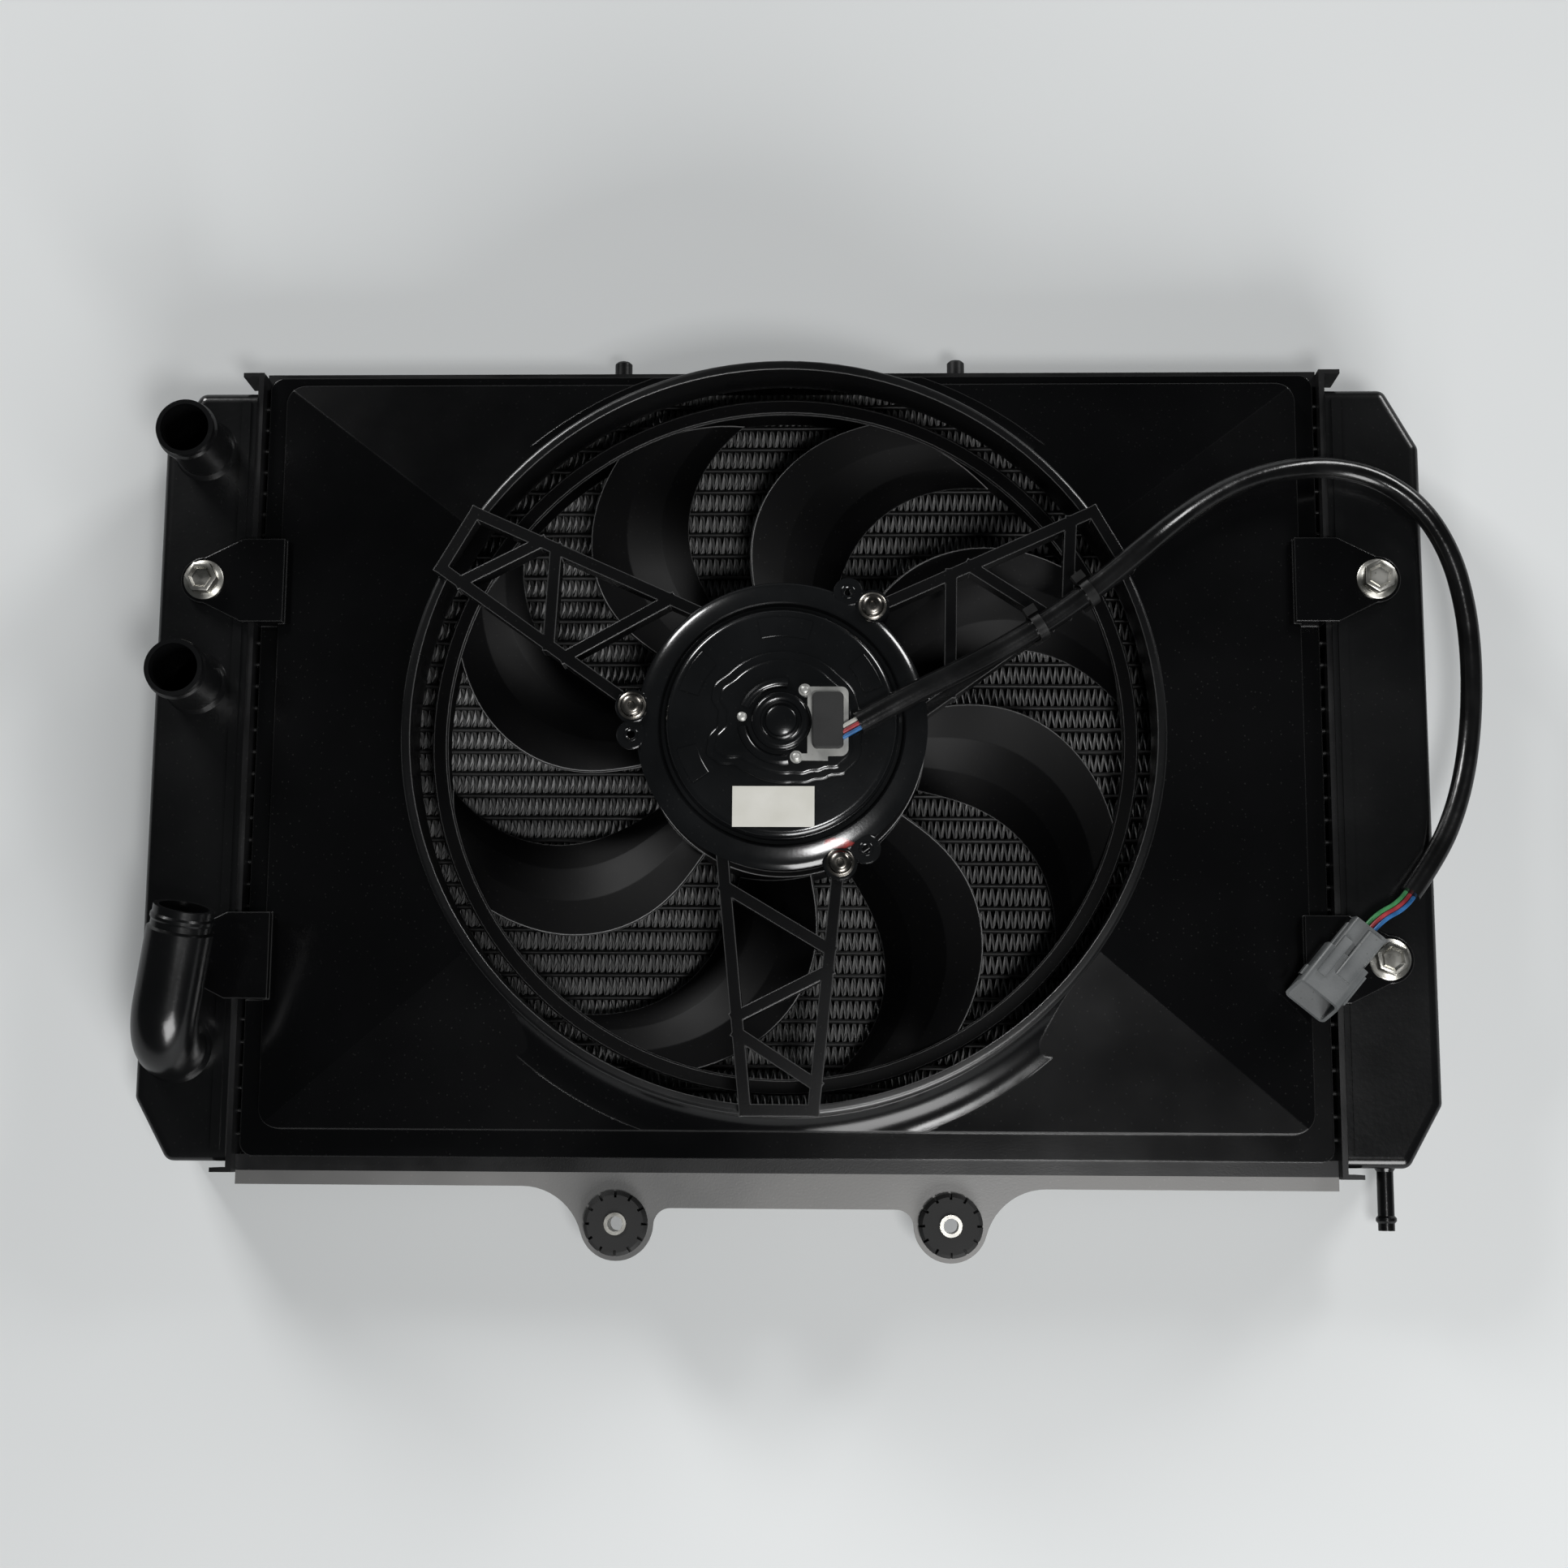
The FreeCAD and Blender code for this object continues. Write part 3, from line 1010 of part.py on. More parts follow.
# Fan hub: a cup over the motor's can, with a boss on the shaft
def fan_hub():
    points = [("shaft_radius", "-hub_foot"), ("hub_boss_radius", "-hub_foot"), ("hub_boss_radius", 0),
              ("hub_radius - hub_edge", 0), ("hub_radius", "hub_edge"), ("hub_radius", "hub_height"),
              ("hub_radius - hub_wall", "hub_height"), ("hub_radius - hub_wall", "hub_edge + 1"),
              ("hub_radius - hub_edge - 1", "hub_wall"), ("hub_boss_radius", "hub_wall"),
              ("hub_boss_radius", "hub_boss"), ("shaft_radius", "hub_boss")]
    return turned_body("fan_hub", points, 0, "fan_axis_y", HUB_LOW)


# Fan band: the ring round the blades' tips, with a rolled lip on its motor side
def fan_band():
    lip_outer, lip_inner = f"({BAND_RADIUS} + lip_out)", f"({BAND_RADIUS} - lip_in)"
    top, lip = "band_height", "lip_thickness"
    points = [(BAND_INNER, 0), (BAND_RADIUS, 0), (BAND_RADIUS, f"{top} - {lip}"),
              (lip_outer, f"{top} - {lip} * 0.7"), (lip_outer, f"{top} - {lip} * 0.3"),
              (f"{lip_outer} - 0.8", top), (f"{lip_inner} + 0.8", top),
              (lip_inner, f"{top} - {lip} * 0.3"), (lip_inner, f"{top} - {lip} * 0.7"),
              (BAND_INNER, f"{top} - {lip} - 1")]
    return turned_body("fan_band", points, 0, "fan_axis_y", f"{HUB_LOW} - band_drop")


# Fan blades: swept, twisted and cambered, each cut off on the hub's and the band's own walls
def fan_blades(band):
    hub_radius, tip_radius = size("hub_radius"), size(BAND_INNER)
    base, over = size(HUB_LOW), size("hub_height")
    thickness = size("blade_thickness")
    edge_low, edge_high, fall = size("blade_low"), size("blade_high"), size("blade_fall")

    def blade_wire(share):
        """The blade's section at a share of the way from hub to band."""
        radius = hub_radius - thickness + share * (tip_radius - hub_radius + thickness * 2.5)
        middle = math.radians(-3.3 + 4 * share - 31 * share ** 2.2)
        half = math.radians(15 - 4.3 * share)
        chord = radius * math.tan(half)
        leading = base + edge_low - fall / 6 * share
        trailing = base + edge_high - fall * share
        radial = FreeCAD.Vector(math.cos(middle), math.sin(middle), 0)
        round_way = FreeCAD.Vector(-math.sin(middle), math.cos(middle), 0)
        up = FreeCAD.Vector(0, 0, 1)
        rise = trailing - leading
        points = []
        for place, bulge in ((-1, 0), (-0.4, 0.85), (0.3, 1), (1, 0)):
            height = leading + rise * (place + 1) / 2 + bulge * thickness
            points.append(radial * radius + round_way * (place * chord) + up * height)
        normal = (up * chord * 2 - round_way * rise).normalize() * (thickness / 2)
        upper = [points[0] + normal * 0.4, points[1] + normal, points[2] + normal, points[3] + normal * 0.6]
        lower = [points[3] - normal * 0.6, points[2] - normal, points[1] - normal, points[0] - normal * 0.4]
        return Part.makePolygon(upper + lower + upper[:1])

    loft = Part.makeLoft([blade_wire(number / 5) for number in range(6)], True, False)
    tip = Part.makeCylinder(tip_radius, over * 3, FreeCAD.Vector(0, 0, base - over))
    root = Part.makeCylinder(hub_radius, over * 3, FreeCAD.Vector(0, 0, base - over))
    ring = band.Shape.copy()
    ring.translate(FreeCAD.Vector(0, -size("fan_axis_y"), 0))
    blade = loft.common(tip).cut(root).cut(ring)
    count = round(size("blades"))
    blades = []
    for number in range(count):
        turned = blade.copy()
        turned.rotate(FreeCAD.Vector(0, 0, 0), FreeCAD.Vector(0, 0, 1), 360 / count * number)
        turned.translate(FreeCAD.Vector(0, size("fan_axis_y"), 0))
        blades += turned.Solids
    if len(blades) != count:
        raise RuntimeError(f"the blades came out as {len(blades)} solids")
    return plain("fan_blades", Part.makeCompound(blades))


# The cord's way from the motor, along a stay arm, over the shroud and the tank's edge.
# Each point is a corner of the route and its arcs take 0.45 of the shorter run.
SLEEVE_ROUTE = [(32, 17.1, 119.4), (52.4, 28.9, 118.6), (73.1, 39.7, 114.6), (93.6, 51, 112.6),
                (113.6, 63.4, 112.4), (132.4, 77.4, 112.5), (149.6, 91.8, 112), (165.6, 106.4, 104.8),
                (182, 120, 93), (199.6, 131.6, 80.6), (219.2, 140, 69), (241.4, 144.2, 60.6),
                (264, 139.8, 56.9), (282.8, 126.4, 55.3), (295.3, 106.3, 52.5), (302, 84, 48),
                (304.8, 60.9, 44), (304.3, 37.3, 42.7), (300.7, 14.1, 45.3), (293.9, -7.9, 50.5),
                (283.7, -28.4, 56.3), (269.8, -46.8, 61.2)]


def cord_path(route):
    """Straight runs joined by tangent arcs, as one wire."""
    points = [FreeCAD.Vector(*place) for place in route]
    edges = []
    radii = []
    start = points[0]
    for before, corner, after in zip(points, points[1:], points[2:]):
        into = (corner - before)
        out = (after - corner)
        turn_by = into.getAngle(out)
        reach = 0.45 * min(into.Length, out.Length)
        radii.append(reach / math.tan(turn_by / 2))
        into = into.normalize()
        out = out.normalize()
        first = corner - into * reach
        last = corner + out * reach
        inwards = (out - into).normalize()
        middle = corner + inwards * (radii[-1] * (1 / math.cos(turn_by / 2) - 1))
        edges.append(Part.LineSegment(start, first).toShape())
        edges.append(Part.Arc(first, middle, last).toShape())
        start = last
    edges.append(Part.LineSegment(start, points[-1]).toShape())
    return Part.Wire(edges), radii


def tube_along(route, radius, say):
    wire, radii = cord_path(route)
    way = FreeCAD.Vector(*route[1]) - FreeCAD.Vector(*route[0])
    ring = Part.Wire(Part.Circle(FreeCAD.Vector(*route[0]), way, radius).toShape())
    tube = wire.makePipeShell([ring], True, False)
    wanted = math.pi * radius ** 2 * wire.Length
    if abs(tube.Volume / wanted - 1) > 0.01:
        raise RuntimeError(f"{say}: the tube's volume is {tube.Volume:.0f}, not {wanted:.0f}")
    print(f"{say}: {wire.Length:.1f} mm long, radii {[round(r) for r in radii]}")
    return tube


def cord_sleeve():
    return plain("cord_sleeve", tube_along(SLEEVE_ROUTE, size("cord_radius"), "sleeve"))


# Wires between the grommet and the sleeve
def motor_wires():
    start = FreeCAD.Vector(*SLEEVE_ROUTE[0])
    way = (FreeCAD.Vector(*SLEEVE_ROUTE[1]) - start).normalize()
    across = FreeCAD.Vector(-way.y, way.x, 0)
    length = (start.x - size("plate_x + gland_half_x") + 1.5) / way.x
    spread = size("wire_radius") * 2.1
    wires = []
    for place in (-1, 0, 1):
        base = start - way * length + across * (place * spread)
        wires.append(Part.makeCylinder(size("wire_radius"), length, base, way))
    return plain("motor_wires", Part.makeCompound(wires))


CONNECTOR_REAR = (251.5, -62.0, 64.2)


def connector_axes():
    """The connector's way from rear to nose, its side way and its upright way."""
    turn_by = math.radians(size("connector_turn"))
    tilt = math.radians(size("connector_tilt"))
    along = FreeCAD.Vector(math.cos(turn_by) * math.cos(tilt), math.sin(turn_by) * math.cos(tilt),
                           -math.sin(tilt))
    side = FreeCAD.Vector(-math.sin(turn_by), math.cos(turn_by), 0)
    return along, side, along.cross(side)


def connector_place(shape):
    """Moves a shape drawn along +X with its rear at the origin onto the connector's place."""
    shape.rotate(FreeCAD.Vector(0, 0, 0), FreeCAD.Vector(0, 1, 0), size("connector_tilt"))
    shape.rotate(FreeCAD.Vector(0, 0, 0), FreeCAD.Vector(0, 0, 1), size("connector_turn"))
    shape.translate(FreeCAD.Vector(*CONNECTOR_REAR))
    return shape


# Connector: a narrow rear, a wide nose open for its mate and cut on the slant, and its ribs
def connector():
    length, half, height = size("connector_length"), size("connector_half"), size("connector_height")
    neck, neck_half = size("connector_neck"), size("connector_neck_half")
    wall, mouth, slant = size("connector_wall"), size("connector_mouth"), size("connector_slant")

    def bar(x0, x1, half_y, z0, z1, y=0):
        return Part.makeBox(x1 - x0, 2 * half_y, z1 - z0, FreeCAD.Vector(x0, y - half_y, z0))

    def rounded(box, radius):
        return box.makeFillet(radius, [e for e in box.Edges if e.BoundBox.XLength > neck / 2])

    top = height / 2
    rear = rounded(bar(0, neck + 1, neck_half, -top, top - 1.5), 2)
    nose = rounded(bar(neck, length, half, -top, top), 3)
    cover = rounded(bar(2, length - mouth, 3.8, top - 3, top + 1.6, 3.2), 1.5)
    rail = bar(neck - 6, length - mouth, 2.2, top - 3, top + 0.8, -4.6)
    shape = rear.multiFuse([nose, cover, rail])
    shape = shape.cut(bar(length - mouth, length + 1, half - wall, -top + wall, top - wall))
    shape = shape.cut(bar(-1, 3, neck_half - wall, -top + wall, top - wall - 1.5))
    corners = [FreeCAD.Vector(length + 1, -half - 1, -top), FreeCAD.Vector(length, -half - 1, -top),
               FreeCAD.Vector(length - slant, -half - 1, top + 3), FreeCAD.Vector(length + 1, -half - 1, top + 3)]
    slice_off = Part.Face(Part.makePolygon(corners + corners[:1])).extrude(FreeCAD.Vector(0, 2 * half + 2, 0))
    return plain("connector", connector_place(shape.cut(slice_off).removeSplitter()))


# Rubber seal in the connector's rear, which the wires pass through
def connector_seal():
    height, neck_half = size("connector_height"), size("connector_neck_half")
    wall = size("connector_wall")
    seal = Part.makeBox(3, 2 * (neck_half - wall), height - 2 * wall - 1.5,
                        FreeCAD.Vector(0, -(neck_half - wall), -height / 2 + wall))
    return plain("connector_seal", connector_place(seal))


# Bare wires from the sleeve's end to the connector's rear seal
def connector_wires():
    along, side, upright = connector_axes()
    end = FreeCAD.Vector(*CONNECTOR_REAR) - upright * 0.7
    sleeve_end = FreeCAD.Vector(*SLEEVE_ROUTE[-1])
    sleeve_way = (sleeve_end - FreeCAD.Vector(*SLEEVE_ROUTE[-2])).normalize()
    spread = size("wire_radius") * 2.1
    wires = []
    for number, place in enumerate((-1, 0, 1)):
        across = FreeCAD.Vector(-sleeve_way.y, sleeve_way.x, 0) * (place * spread)
        first = sleeve_end + across
        last = end + side * (place * spread)
        route = [first, first + sleeve_way * 6.5, last - along * 6.5, last]
        wires.append(tube_along([tuple(p) for p in route], size("wire_radius"), f"wire {number}"))
    return plain("connector_wires", Part.makeCompound(wires))


# Cable tie: a strap round the sleeve and the rib below it, with its head on the side
def cable_tie(run, share):
    start, end = [FreeCAD.Vector(*place) for place in SLEEVE_ROUTE[run:run + 2]]
    way = end - start
    middle = start + way * share
    radius, strap = size("cord_radius"), size("tie_thickness")
    rib_base = size(f"{STAY_TOP} - stay_depth") - middle.z
    rib_half = size("rib_width / 2") + 0.4
    width = size("tie_width")

    def loop(grow):
        wide = radius + 0.3 + grow
        foot = rib_half + grow
        corners = [(-foot, rib_base - 0.2 - grow), (foot, rib_base - 0.2 - grow), (wide, 0), (-wide, 0)]
        points = [FreeCAD.Vector(0, y, z) for y, z in corners]
        skirt = Part.Face(Part.makePolygon(points + points[:1])).extrude(FreeCAD.Vector(width, 0, 0))
        return skirt.fuse(Part.makeCylinder(wide, width, FreeCAD.Vector(0, 0, 0), FreeCAD.Vector(1, 0, 0)))

    shape = loop(strap).cut(loop(0))
    head = Part.makeBox(width + 1, 3.6, 4.6, FreeCAD.Vector(-0.5, radius + 0.6, 1.0))
    shape = shape.fuse(head.cut(loop(0))).removeSplitter()
    shape.translate(FreeCAD.Vector(-width / 2, 0, 0))
    shape.rotate(FreeCAD.Vector(0, 0, 0), FreeCAD.Vector(0, 0, 1), math.degrees(math.atan2(way.y, way.x)))
    shape.translate(middle)
    return shape


def cable_ties():
    return plain("cable_ties", Part.makeCompound([cable_tie(3, 0.68), cable_tie(4, 0.76)]))


# Everything in the order it is put together
keep(core_tubes())
keep(core_fins())
keep(header_plate("header_plate_left", -1))
keep(header_plate("header_plate_right", 1))
bolt_holes = [("bolt_x", "tab_upper_y", "bolt_radius + bolt_gap"),
              ("bolt_x", "tab_lower_y", "bolt_radius + bolt_gap")]
keep(tank("tank_left", -1, [(f"-{x}", y, r) for x, y, r in bolt_holes] + [
    ("port_x", "port_upper_y", PORT_BORE), ("port_x", "port_lower_y", PORT_BORE),
    ("elbow_x", "elbow_y", ELBOW_BORE)]))
keep(tank("tank_right", 1, bolt_holes))
keep(port("hose_port_upper", "port_upper_y"))
keep(port("hose_port_lower", "port_lower_y"))
keep(elbow_pipe())
keep(vent_pipe())
keep(side_plate("side_plate_top", CORE_HIGH_Y, 1))
keep(side_plate("side_plate_bottom", "core_low_y", -1))
keep(group("locating_pins", [locating_pin("pin_left", -1), locating_pin("pin_right", 1)]))
keep(mounting_bracket())
keep(group("grommets", [grommet("grommet_left", -1), grommet("grommet_right", 1)]))
keep(group("grommet_collars", [collar("collar_left", -1), collar("collar_right", 1)]))
corners = [(word, side, end, y) for end, y in BOLT_PLACES for word, side in (("left", -1), ("right", 1))]
keep(group("weld_nuts", [weld_nut(f"weld_nut_{end}_{word}", side, y) for word, side, end, y in corners]))
pan, ring = fan_shroud()
keep(pan)
keep(ring)
keep(group("shroud_bolts", [shroud_bolt(f"bolt_{end}_{word}", side, y) for word, side, end, y in corners]))
keep(motor_stay())
keep(motor_cover())
keep(motor_can())
keep(motor_magnets())
keep(armature())
keep(commutator())
keep(brush_plate())
keep(bearing("front_bearing", f"{STAY_TOP} - can_length + can_wall - nose_length"))
keep(bearing("rear_bearing", f"{PLATE_BASE} - bearing_width"))
keep(bearing_cap())
keep(motor_shaft())
keep(terminal_plate())
keep(wire_grommet())
keep(rivets())
keep(motor_screws())
keep(blank_patch())
keep(fan_hub())
band = fan_band()
doc.recompute()
keep(band)
keep(fan_blades(band))
keep(fan_nut())
keep(motor_wires())
keep(cord_sleeve())
keep(cable_ties())
keep(connector_wires())
keep(connector())
keep(connector_seal())

doc.recompute()
for item in doc.Objects:
    if "Invalid" in item.State or "Error" in item.State:
        raise RuntimeError(f"{item.Name} failed: {item.State}")
os.makedirs("parts", exist_ok=True)
for item in PARTS:
    if item.Shape.isNull() or not item.Shape.isValid():
        raise RuntimeError(f"{item.Label} has no sound shape")
for item in PARTS:
    item.Shape.exportStep(f"parts/{item.Label}.step")
print(f"{len(PARTS)} sub-parts written")
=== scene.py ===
import math

import bmesh
import bpy
from mathutils import Matrix, Vector


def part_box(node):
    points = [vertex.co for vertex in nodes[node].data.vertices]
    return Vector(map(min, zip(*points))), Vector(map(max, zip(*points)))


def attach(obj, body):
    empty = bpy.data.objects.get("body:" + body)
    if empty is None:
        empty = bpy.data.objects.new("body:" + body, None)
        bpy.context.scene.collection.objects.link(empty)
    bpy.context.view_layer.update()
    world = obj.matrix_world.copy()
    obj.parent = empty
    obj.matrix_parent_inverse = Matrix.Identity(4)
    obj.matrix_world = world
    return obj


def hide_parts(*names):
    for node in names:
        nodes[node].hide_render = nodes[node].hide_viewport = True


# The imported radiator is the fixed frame: every place below is in its metres, with the tanks
# resting on the floor at z = 0 and the fan's axis standing up at x = 0, y = 0.0186.
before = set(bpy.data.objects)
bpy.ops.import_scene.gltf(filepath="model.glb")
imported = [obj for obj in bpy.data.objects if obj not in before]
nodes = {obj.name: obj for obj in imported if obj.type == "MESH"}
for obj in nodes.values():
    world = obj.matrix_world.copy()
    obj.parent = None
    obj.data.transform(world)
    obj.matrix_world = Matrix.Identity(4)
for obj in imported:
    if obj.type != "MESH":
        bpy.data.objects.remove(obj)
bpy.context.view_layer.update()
fan_axis = Vector((0, 0.0186, 0))


# The stand for the photograph: a pale table top 8 m across, a camera that looks almost straight
# down on the fan, and four square softboxes, their sizes in metres and their power in watts. The
# lens and the place come from the photograph's own perspective.
def table_top_finish():
    """A matt, pale grey board with the faintest clouding."""
    material = bpy.data.materials.new("table_top")
    material.use_nodes = True
    tree = material.node_tree
    shader = tree.nodes["Principled BSDF"]
    place = tree.nodes.new("ShaderNodeTexCoord")
    clouds = tree.nodes.new("ShaderNodeTexNoise")
    clouds.inputs["Scale"].default_value = 2.5
    clouds.inputs["Detail"].default_value = 3
    tint = tree.nodes.new("ShaderNodeMix")
    tint.data_type = "RGBA"
    tint.inputs["A"].default_value = (0.74, 0.76, 0.765, 1)
    tint.inputs["B"].default_value = (0.82, 0.835, 0.835, 1)
    seen = tree.nodes.new("ShaderNodeLightPath")
    dimmed = tree.nodes.new("ShaderNodeMix")
    dimmed.data_type = "RGBA"
    dimmed.inputs["A"].default_value = (0.42, 0.43, 0.435, 1)
    tree.links.new(place.outputs["Object"], clouds.inputs["Vector"])
    tree.links.new(clouds.outputs["Fac"], tint.inputs["Factor"])
    tree.links.new(seen.outputs["Is Camera Ray"], dimmed.inputs["Factor"])
    tree.links.new(tint.outputs["Result"], dimmed.inputs["B"])
    tree.links.new(dimmed.outputs["Result"], shader.inputs["Base Color"])
    shader.inputs["Roughness"].default_value = 0.75
    return material


table_half = 4
board = bmesh.new()
bmesh.ops.create_grid(board, x_segments=1, y_segments=1, size=table_half)
table_mesh = bpy.data.meshes.new("table_top")
board.to_mesh(table_mesh)
board.free()
table = bpy.data.objects.new("table_top", table_mesh)
bpy.context.scene.collection.objects.link(table)
table_mesh.materials.append(table_top_finish())

camera_data = bpy.data.cameras.new("camera")
camera_data.lens = 52.795
camera_data.sensor_width = 36
camera_data.clip_start = 0.05
camera = bpy.data.objects.new("camera", camera_data)
bpy.context.scene.collection.objects.link(camera)
camera_place = Vector((0.02902, -0.15385, 1.05435))
camera_right = Vector((0.99957609, 0.00631248, -0.02842168))
camera_up = Vector((-0.0018645, 0.98808753, 0.15388166))
camera_back = Vector((0.02905448, -0.15376343, 0.98768044))
turned = Matrix((camera_right, camera_up, camera_back)).transposed().to_4x4()
camera.matrix_world = Matrix.Translation(camera_place) @ turned
bpy.context.scene.camera = camera


def soft_lamp(name, place, aim, size, power):
    """A square softbox that faces a point of the object."""
    data = bpy.data.lights.new(name, "AREA")
    data.size = size
    data.energy = power
    lamp = bpy.data.objects.new(name, data)
    lamp.location = place
    lamp.rotation_euler = (Vector(aim) - Vector(place)).to_track_quat("-Z", "Y").to_euler()
    bpy.context.scene.collection.objects.link(lamp)


soft_lamp("key_lamp", (0.6, -1.9, 1.05), (0, 0, 0), 1.1, 36)
soft_lamp("low_lamp", (0.22, -0.43, 1.3), (0, 0, 0), 0.22, 4.4)
soft_lamp("back_lamp", (-1.3, 1.7, 1.1), (0, 0.2, 0), 0.6, 27)
soft_lamp("right_lamp", (1.5, 1.5, 1.0), (0.1, 0.2, 0), 0.6, 17)
world = bpy.data.worlds.new("room")
world.use_nodes = True
room_light = world.node_tree.nodes["Background"]
room_light.inputs["Color"].default_value = (0.8, 0.87, 0.9, 1)
room_light.inputs["Strength"].default_value = 0.04
bpy.context.scene.world = world
bpy.context.scene.view_settings.view_transform = "Standard"


# Flat tubes of the core: 34 of extruded aluminium, two millimetres thick with rounded noses,
# brazed between the fins. They have darkened to near black, and dust lies on the noses.
def handled_surface():
    """Node group: slow clouding, fine grain and settled dust over a surface, as masks."""
    group = bpy.data.node_groups.new("handled_surface", "ShaderNodeTree")
    for name, value in (("Clouds", 20.0), ("Grain", 900.0), ("Specks", 350.0)):
        socket = group.interface.new_socket(name, in_out="INPUT", socket_type="NodeSocketFloat")
        socket.default_value = value
    group.interface.new_socket("Place", in_out="INPUT", socket_type="NodeSocketVector")
    for name in ("Shade", "Height", "Dust"):
        group.interface.new_socket(name, in_out="OUTPUT", socket_type="NodeSocketFloat")
    ends = group.nodes.new("NodeGroupInput")
    out = group.nodes.new("NodeGroupOutput")
    clouds = group.nodes.new("ShaderNodeTexNoise")
    clouds.inputs["Detail"].default_value = 4
    grain = group.nodes.new("ShaderNodeTexNoise")
    grain.inputs["Detail"].default_value = 2
    specks = group.nodes.new("ShaderNodeTexVoronoi")
    for texture, scale in ((clouds, "Clouds"), (grain, "Grain"), (specks, "Specks")):
        group.links.new(ends.outputs["Place"], texture.inputs["Vector"])
        group.links.new(ends.outputs[scale], texture.inputs["Scale"])
    shade = group.nodes.new("ShaderNodeMapRange")
    shade.inputs["From Min"].default_value = 0.32
    shade.inputs["From Max"].default_value = 0.68
    group.links.new(clouds.outputs["Fac"], shade.inputs["Value"])
    group.links.new(shade.outputs["Result"], out.inputs["Shade"])
    group.links.new(grain.outputs["Fac"], out.inputs["Height"])
    dots = group.nodes.new("ShaderNodeMapRange")
    dots.inputs["From Min"].default_value = 0.16
    dots.inputs["From Max"].default_value = 0.05
    patches = group.nodes.new("ShaderNodeMath")
    patches.operation = "MULTIPLY"
    group.links.new(specks.outputs["Distance"], dots.inputs["Value"])
    group.links.new(dots.outputs["Result"], patches.inputs[0])
    group.links.new(shade.outputs["Result"], patches.inputs[1])
    group.links.new(patches.outputs["Value"], out.inputs["Dust"])
    return group


surface_group = handled_surface()


def finish(name, dark, light, rough, clouds=20, grain=900, depth=0.00002, metal=0, dust=None,
           coat=0):
    """A procedural finish between two tones, with its grain raised by depth metres."""
    material = bpy.data.materials.new(name)
    material.use_nodes = True
    tree = material.node_tree
    shader = tree.nodes["Principled BSDF"]
    place = tree.nodes.new("ShaderNodeTexCoord")
    wear = tree.nodes.new("ShaderNodeGroup")
    wear.node_tree = surface_group
    wear.inputs["Clouds"].default_value = clouds
    wear.inputs["Grain"].default_value = grain
    tint = tree.nodes.new("ShaderNodeMix")
    tint.data_type = "RGBA"
    tint.inputs["A"].default_value = (*dark, 1)
    tint.inputs["B"].default_value = (*light, 1)
    gloss = tree.nodes.new("ShaderNodeMapRange")
    gloss.inputs["To Min"].default_value = rough[0]
    gloss.inputs["To Max"].default_value = rough[1]
    bump = tree.nodes.new("ShaderNodeBump")
    bump.name = "bump"
    bump.inputs["Distance"].default_value = depth
    tree.links.new(place.outputs["Object"], wear.inputs["Place"])
    tree.links.new(wear.outputs["Shade"], tint.inputs["Factor"])
    tree.links.new(wear.outputs["Shade"], gloss.inputs["Value"])
    tree.links.new(wear.outputs["Height"], bump.inputs["Height"])
    tree.links.new(gloss.outputs["Result"], shader.inputs["Roughness"])
    tree.links.new(bump.outputs["Normal"], shader.inputs["Normal"])
    colour = tint.outputs["Result"]
    if dust:
        settle = tree.nodes.new("ShaderNodeMix")
        settle.name = "settle"
        settle.data_type = "RGBA"
        settle.inputs["B"].default_value = (*dust, 1)
        tree.links.new(wear.outputs["Dust"], settle.inputs["Factor"])
        tree.links.new(colour, settle.inputs["A"])
        colour = settle.outputs["Result"]
    tree.links.new(colour, shader.inputs["Base Color"])
    shader.inputs["Metallic"].default_value = metal
    shader.inputs["Coat Weight"].default_value = coat
    shader.inputs["Coat Roughness"].default_value = 0.12
    return material


def made_piece(name, shape, body, material, replaced, smooth=35):
    """Turns a bmesh into a finished piece that rides on a body and stands for CAD nodes."""
    mesh = bpy.data.meshes.new(name)
    shape.to_mesh(mesh)
    shape.free()
    for face in mesh.polygons:
        face.use_smooth = True
    mesh.set_sharp_from_angle(angle=math.radians(smooth))
    mesh.materials.append(material)
    made = bpy.data.objects.new(name, mesh)
    bpy.context.scene.collection.objects.link(made)
    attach(made, body)
    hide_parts(*replaced)
    return made


def round_edges(shape, edges, radius, segments, clamped=False):
    """Rounds edges of a shape to one radius."""
    bmesh.ops.bevel(shape, geom=list(edges), offset=radius, offset_type="OFFSET",
                    segments=segments, profile=0.5, clamp_overlap=clamped, affect="EDGES",
                    material=-1)


def rounded_bar(shape, low, high, radius, segments=3):
    """Adds a box between two corners, with its edges along X rounded."""
    low, high = Vector(low), Vector(high)
    size = high - low
    made = bmesh.ops.create_cube(shape, size=1)["verts"]
    bmesh.ops.scale(shape, verts=made, vec=size)
    bmesh.ops.translate(shape, verts=made, vec=(low + high) / 2)
    edges = {edge for vert in made for edge in vert.link_edges
             if abs(edge.verts[0].co.x - edge.verts[1].co.x) > size.x / 2}
    round_edges(shape, edges, radius, segments)


tube_count = 34
tube_thickness = 0.002
tube_nose = 0.0009
tubes_low, tubes_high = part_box("core_tubes")
tube_pitch = (tubes_high[1] - tubes_low[1] - tube_thickness) / (tube_count - 1)
tubes = bmesh.new()
for row in range(tube_count):
    foot = tubes_low[1] + row * tube_pitch
    rounded_bar(tubes, (tubes_low[0], foot, tubes_low[2]),
                (tubes_high[0], foot + tube_thickness, tubes_high[2]), tube_nose)
tube_alloy = finish("tube_alloy", (0.006, 0.006, 0.0062), (0.015, 0.015, 0.015), (0.35, 0.55),
                    clouds=12, grain=1600, depth=0.00003, dust=(0.06, 0.06, 0.058))
made_piece("flat_tubes", tubes, "radiator", tube_alloy, ["core_tubes"])


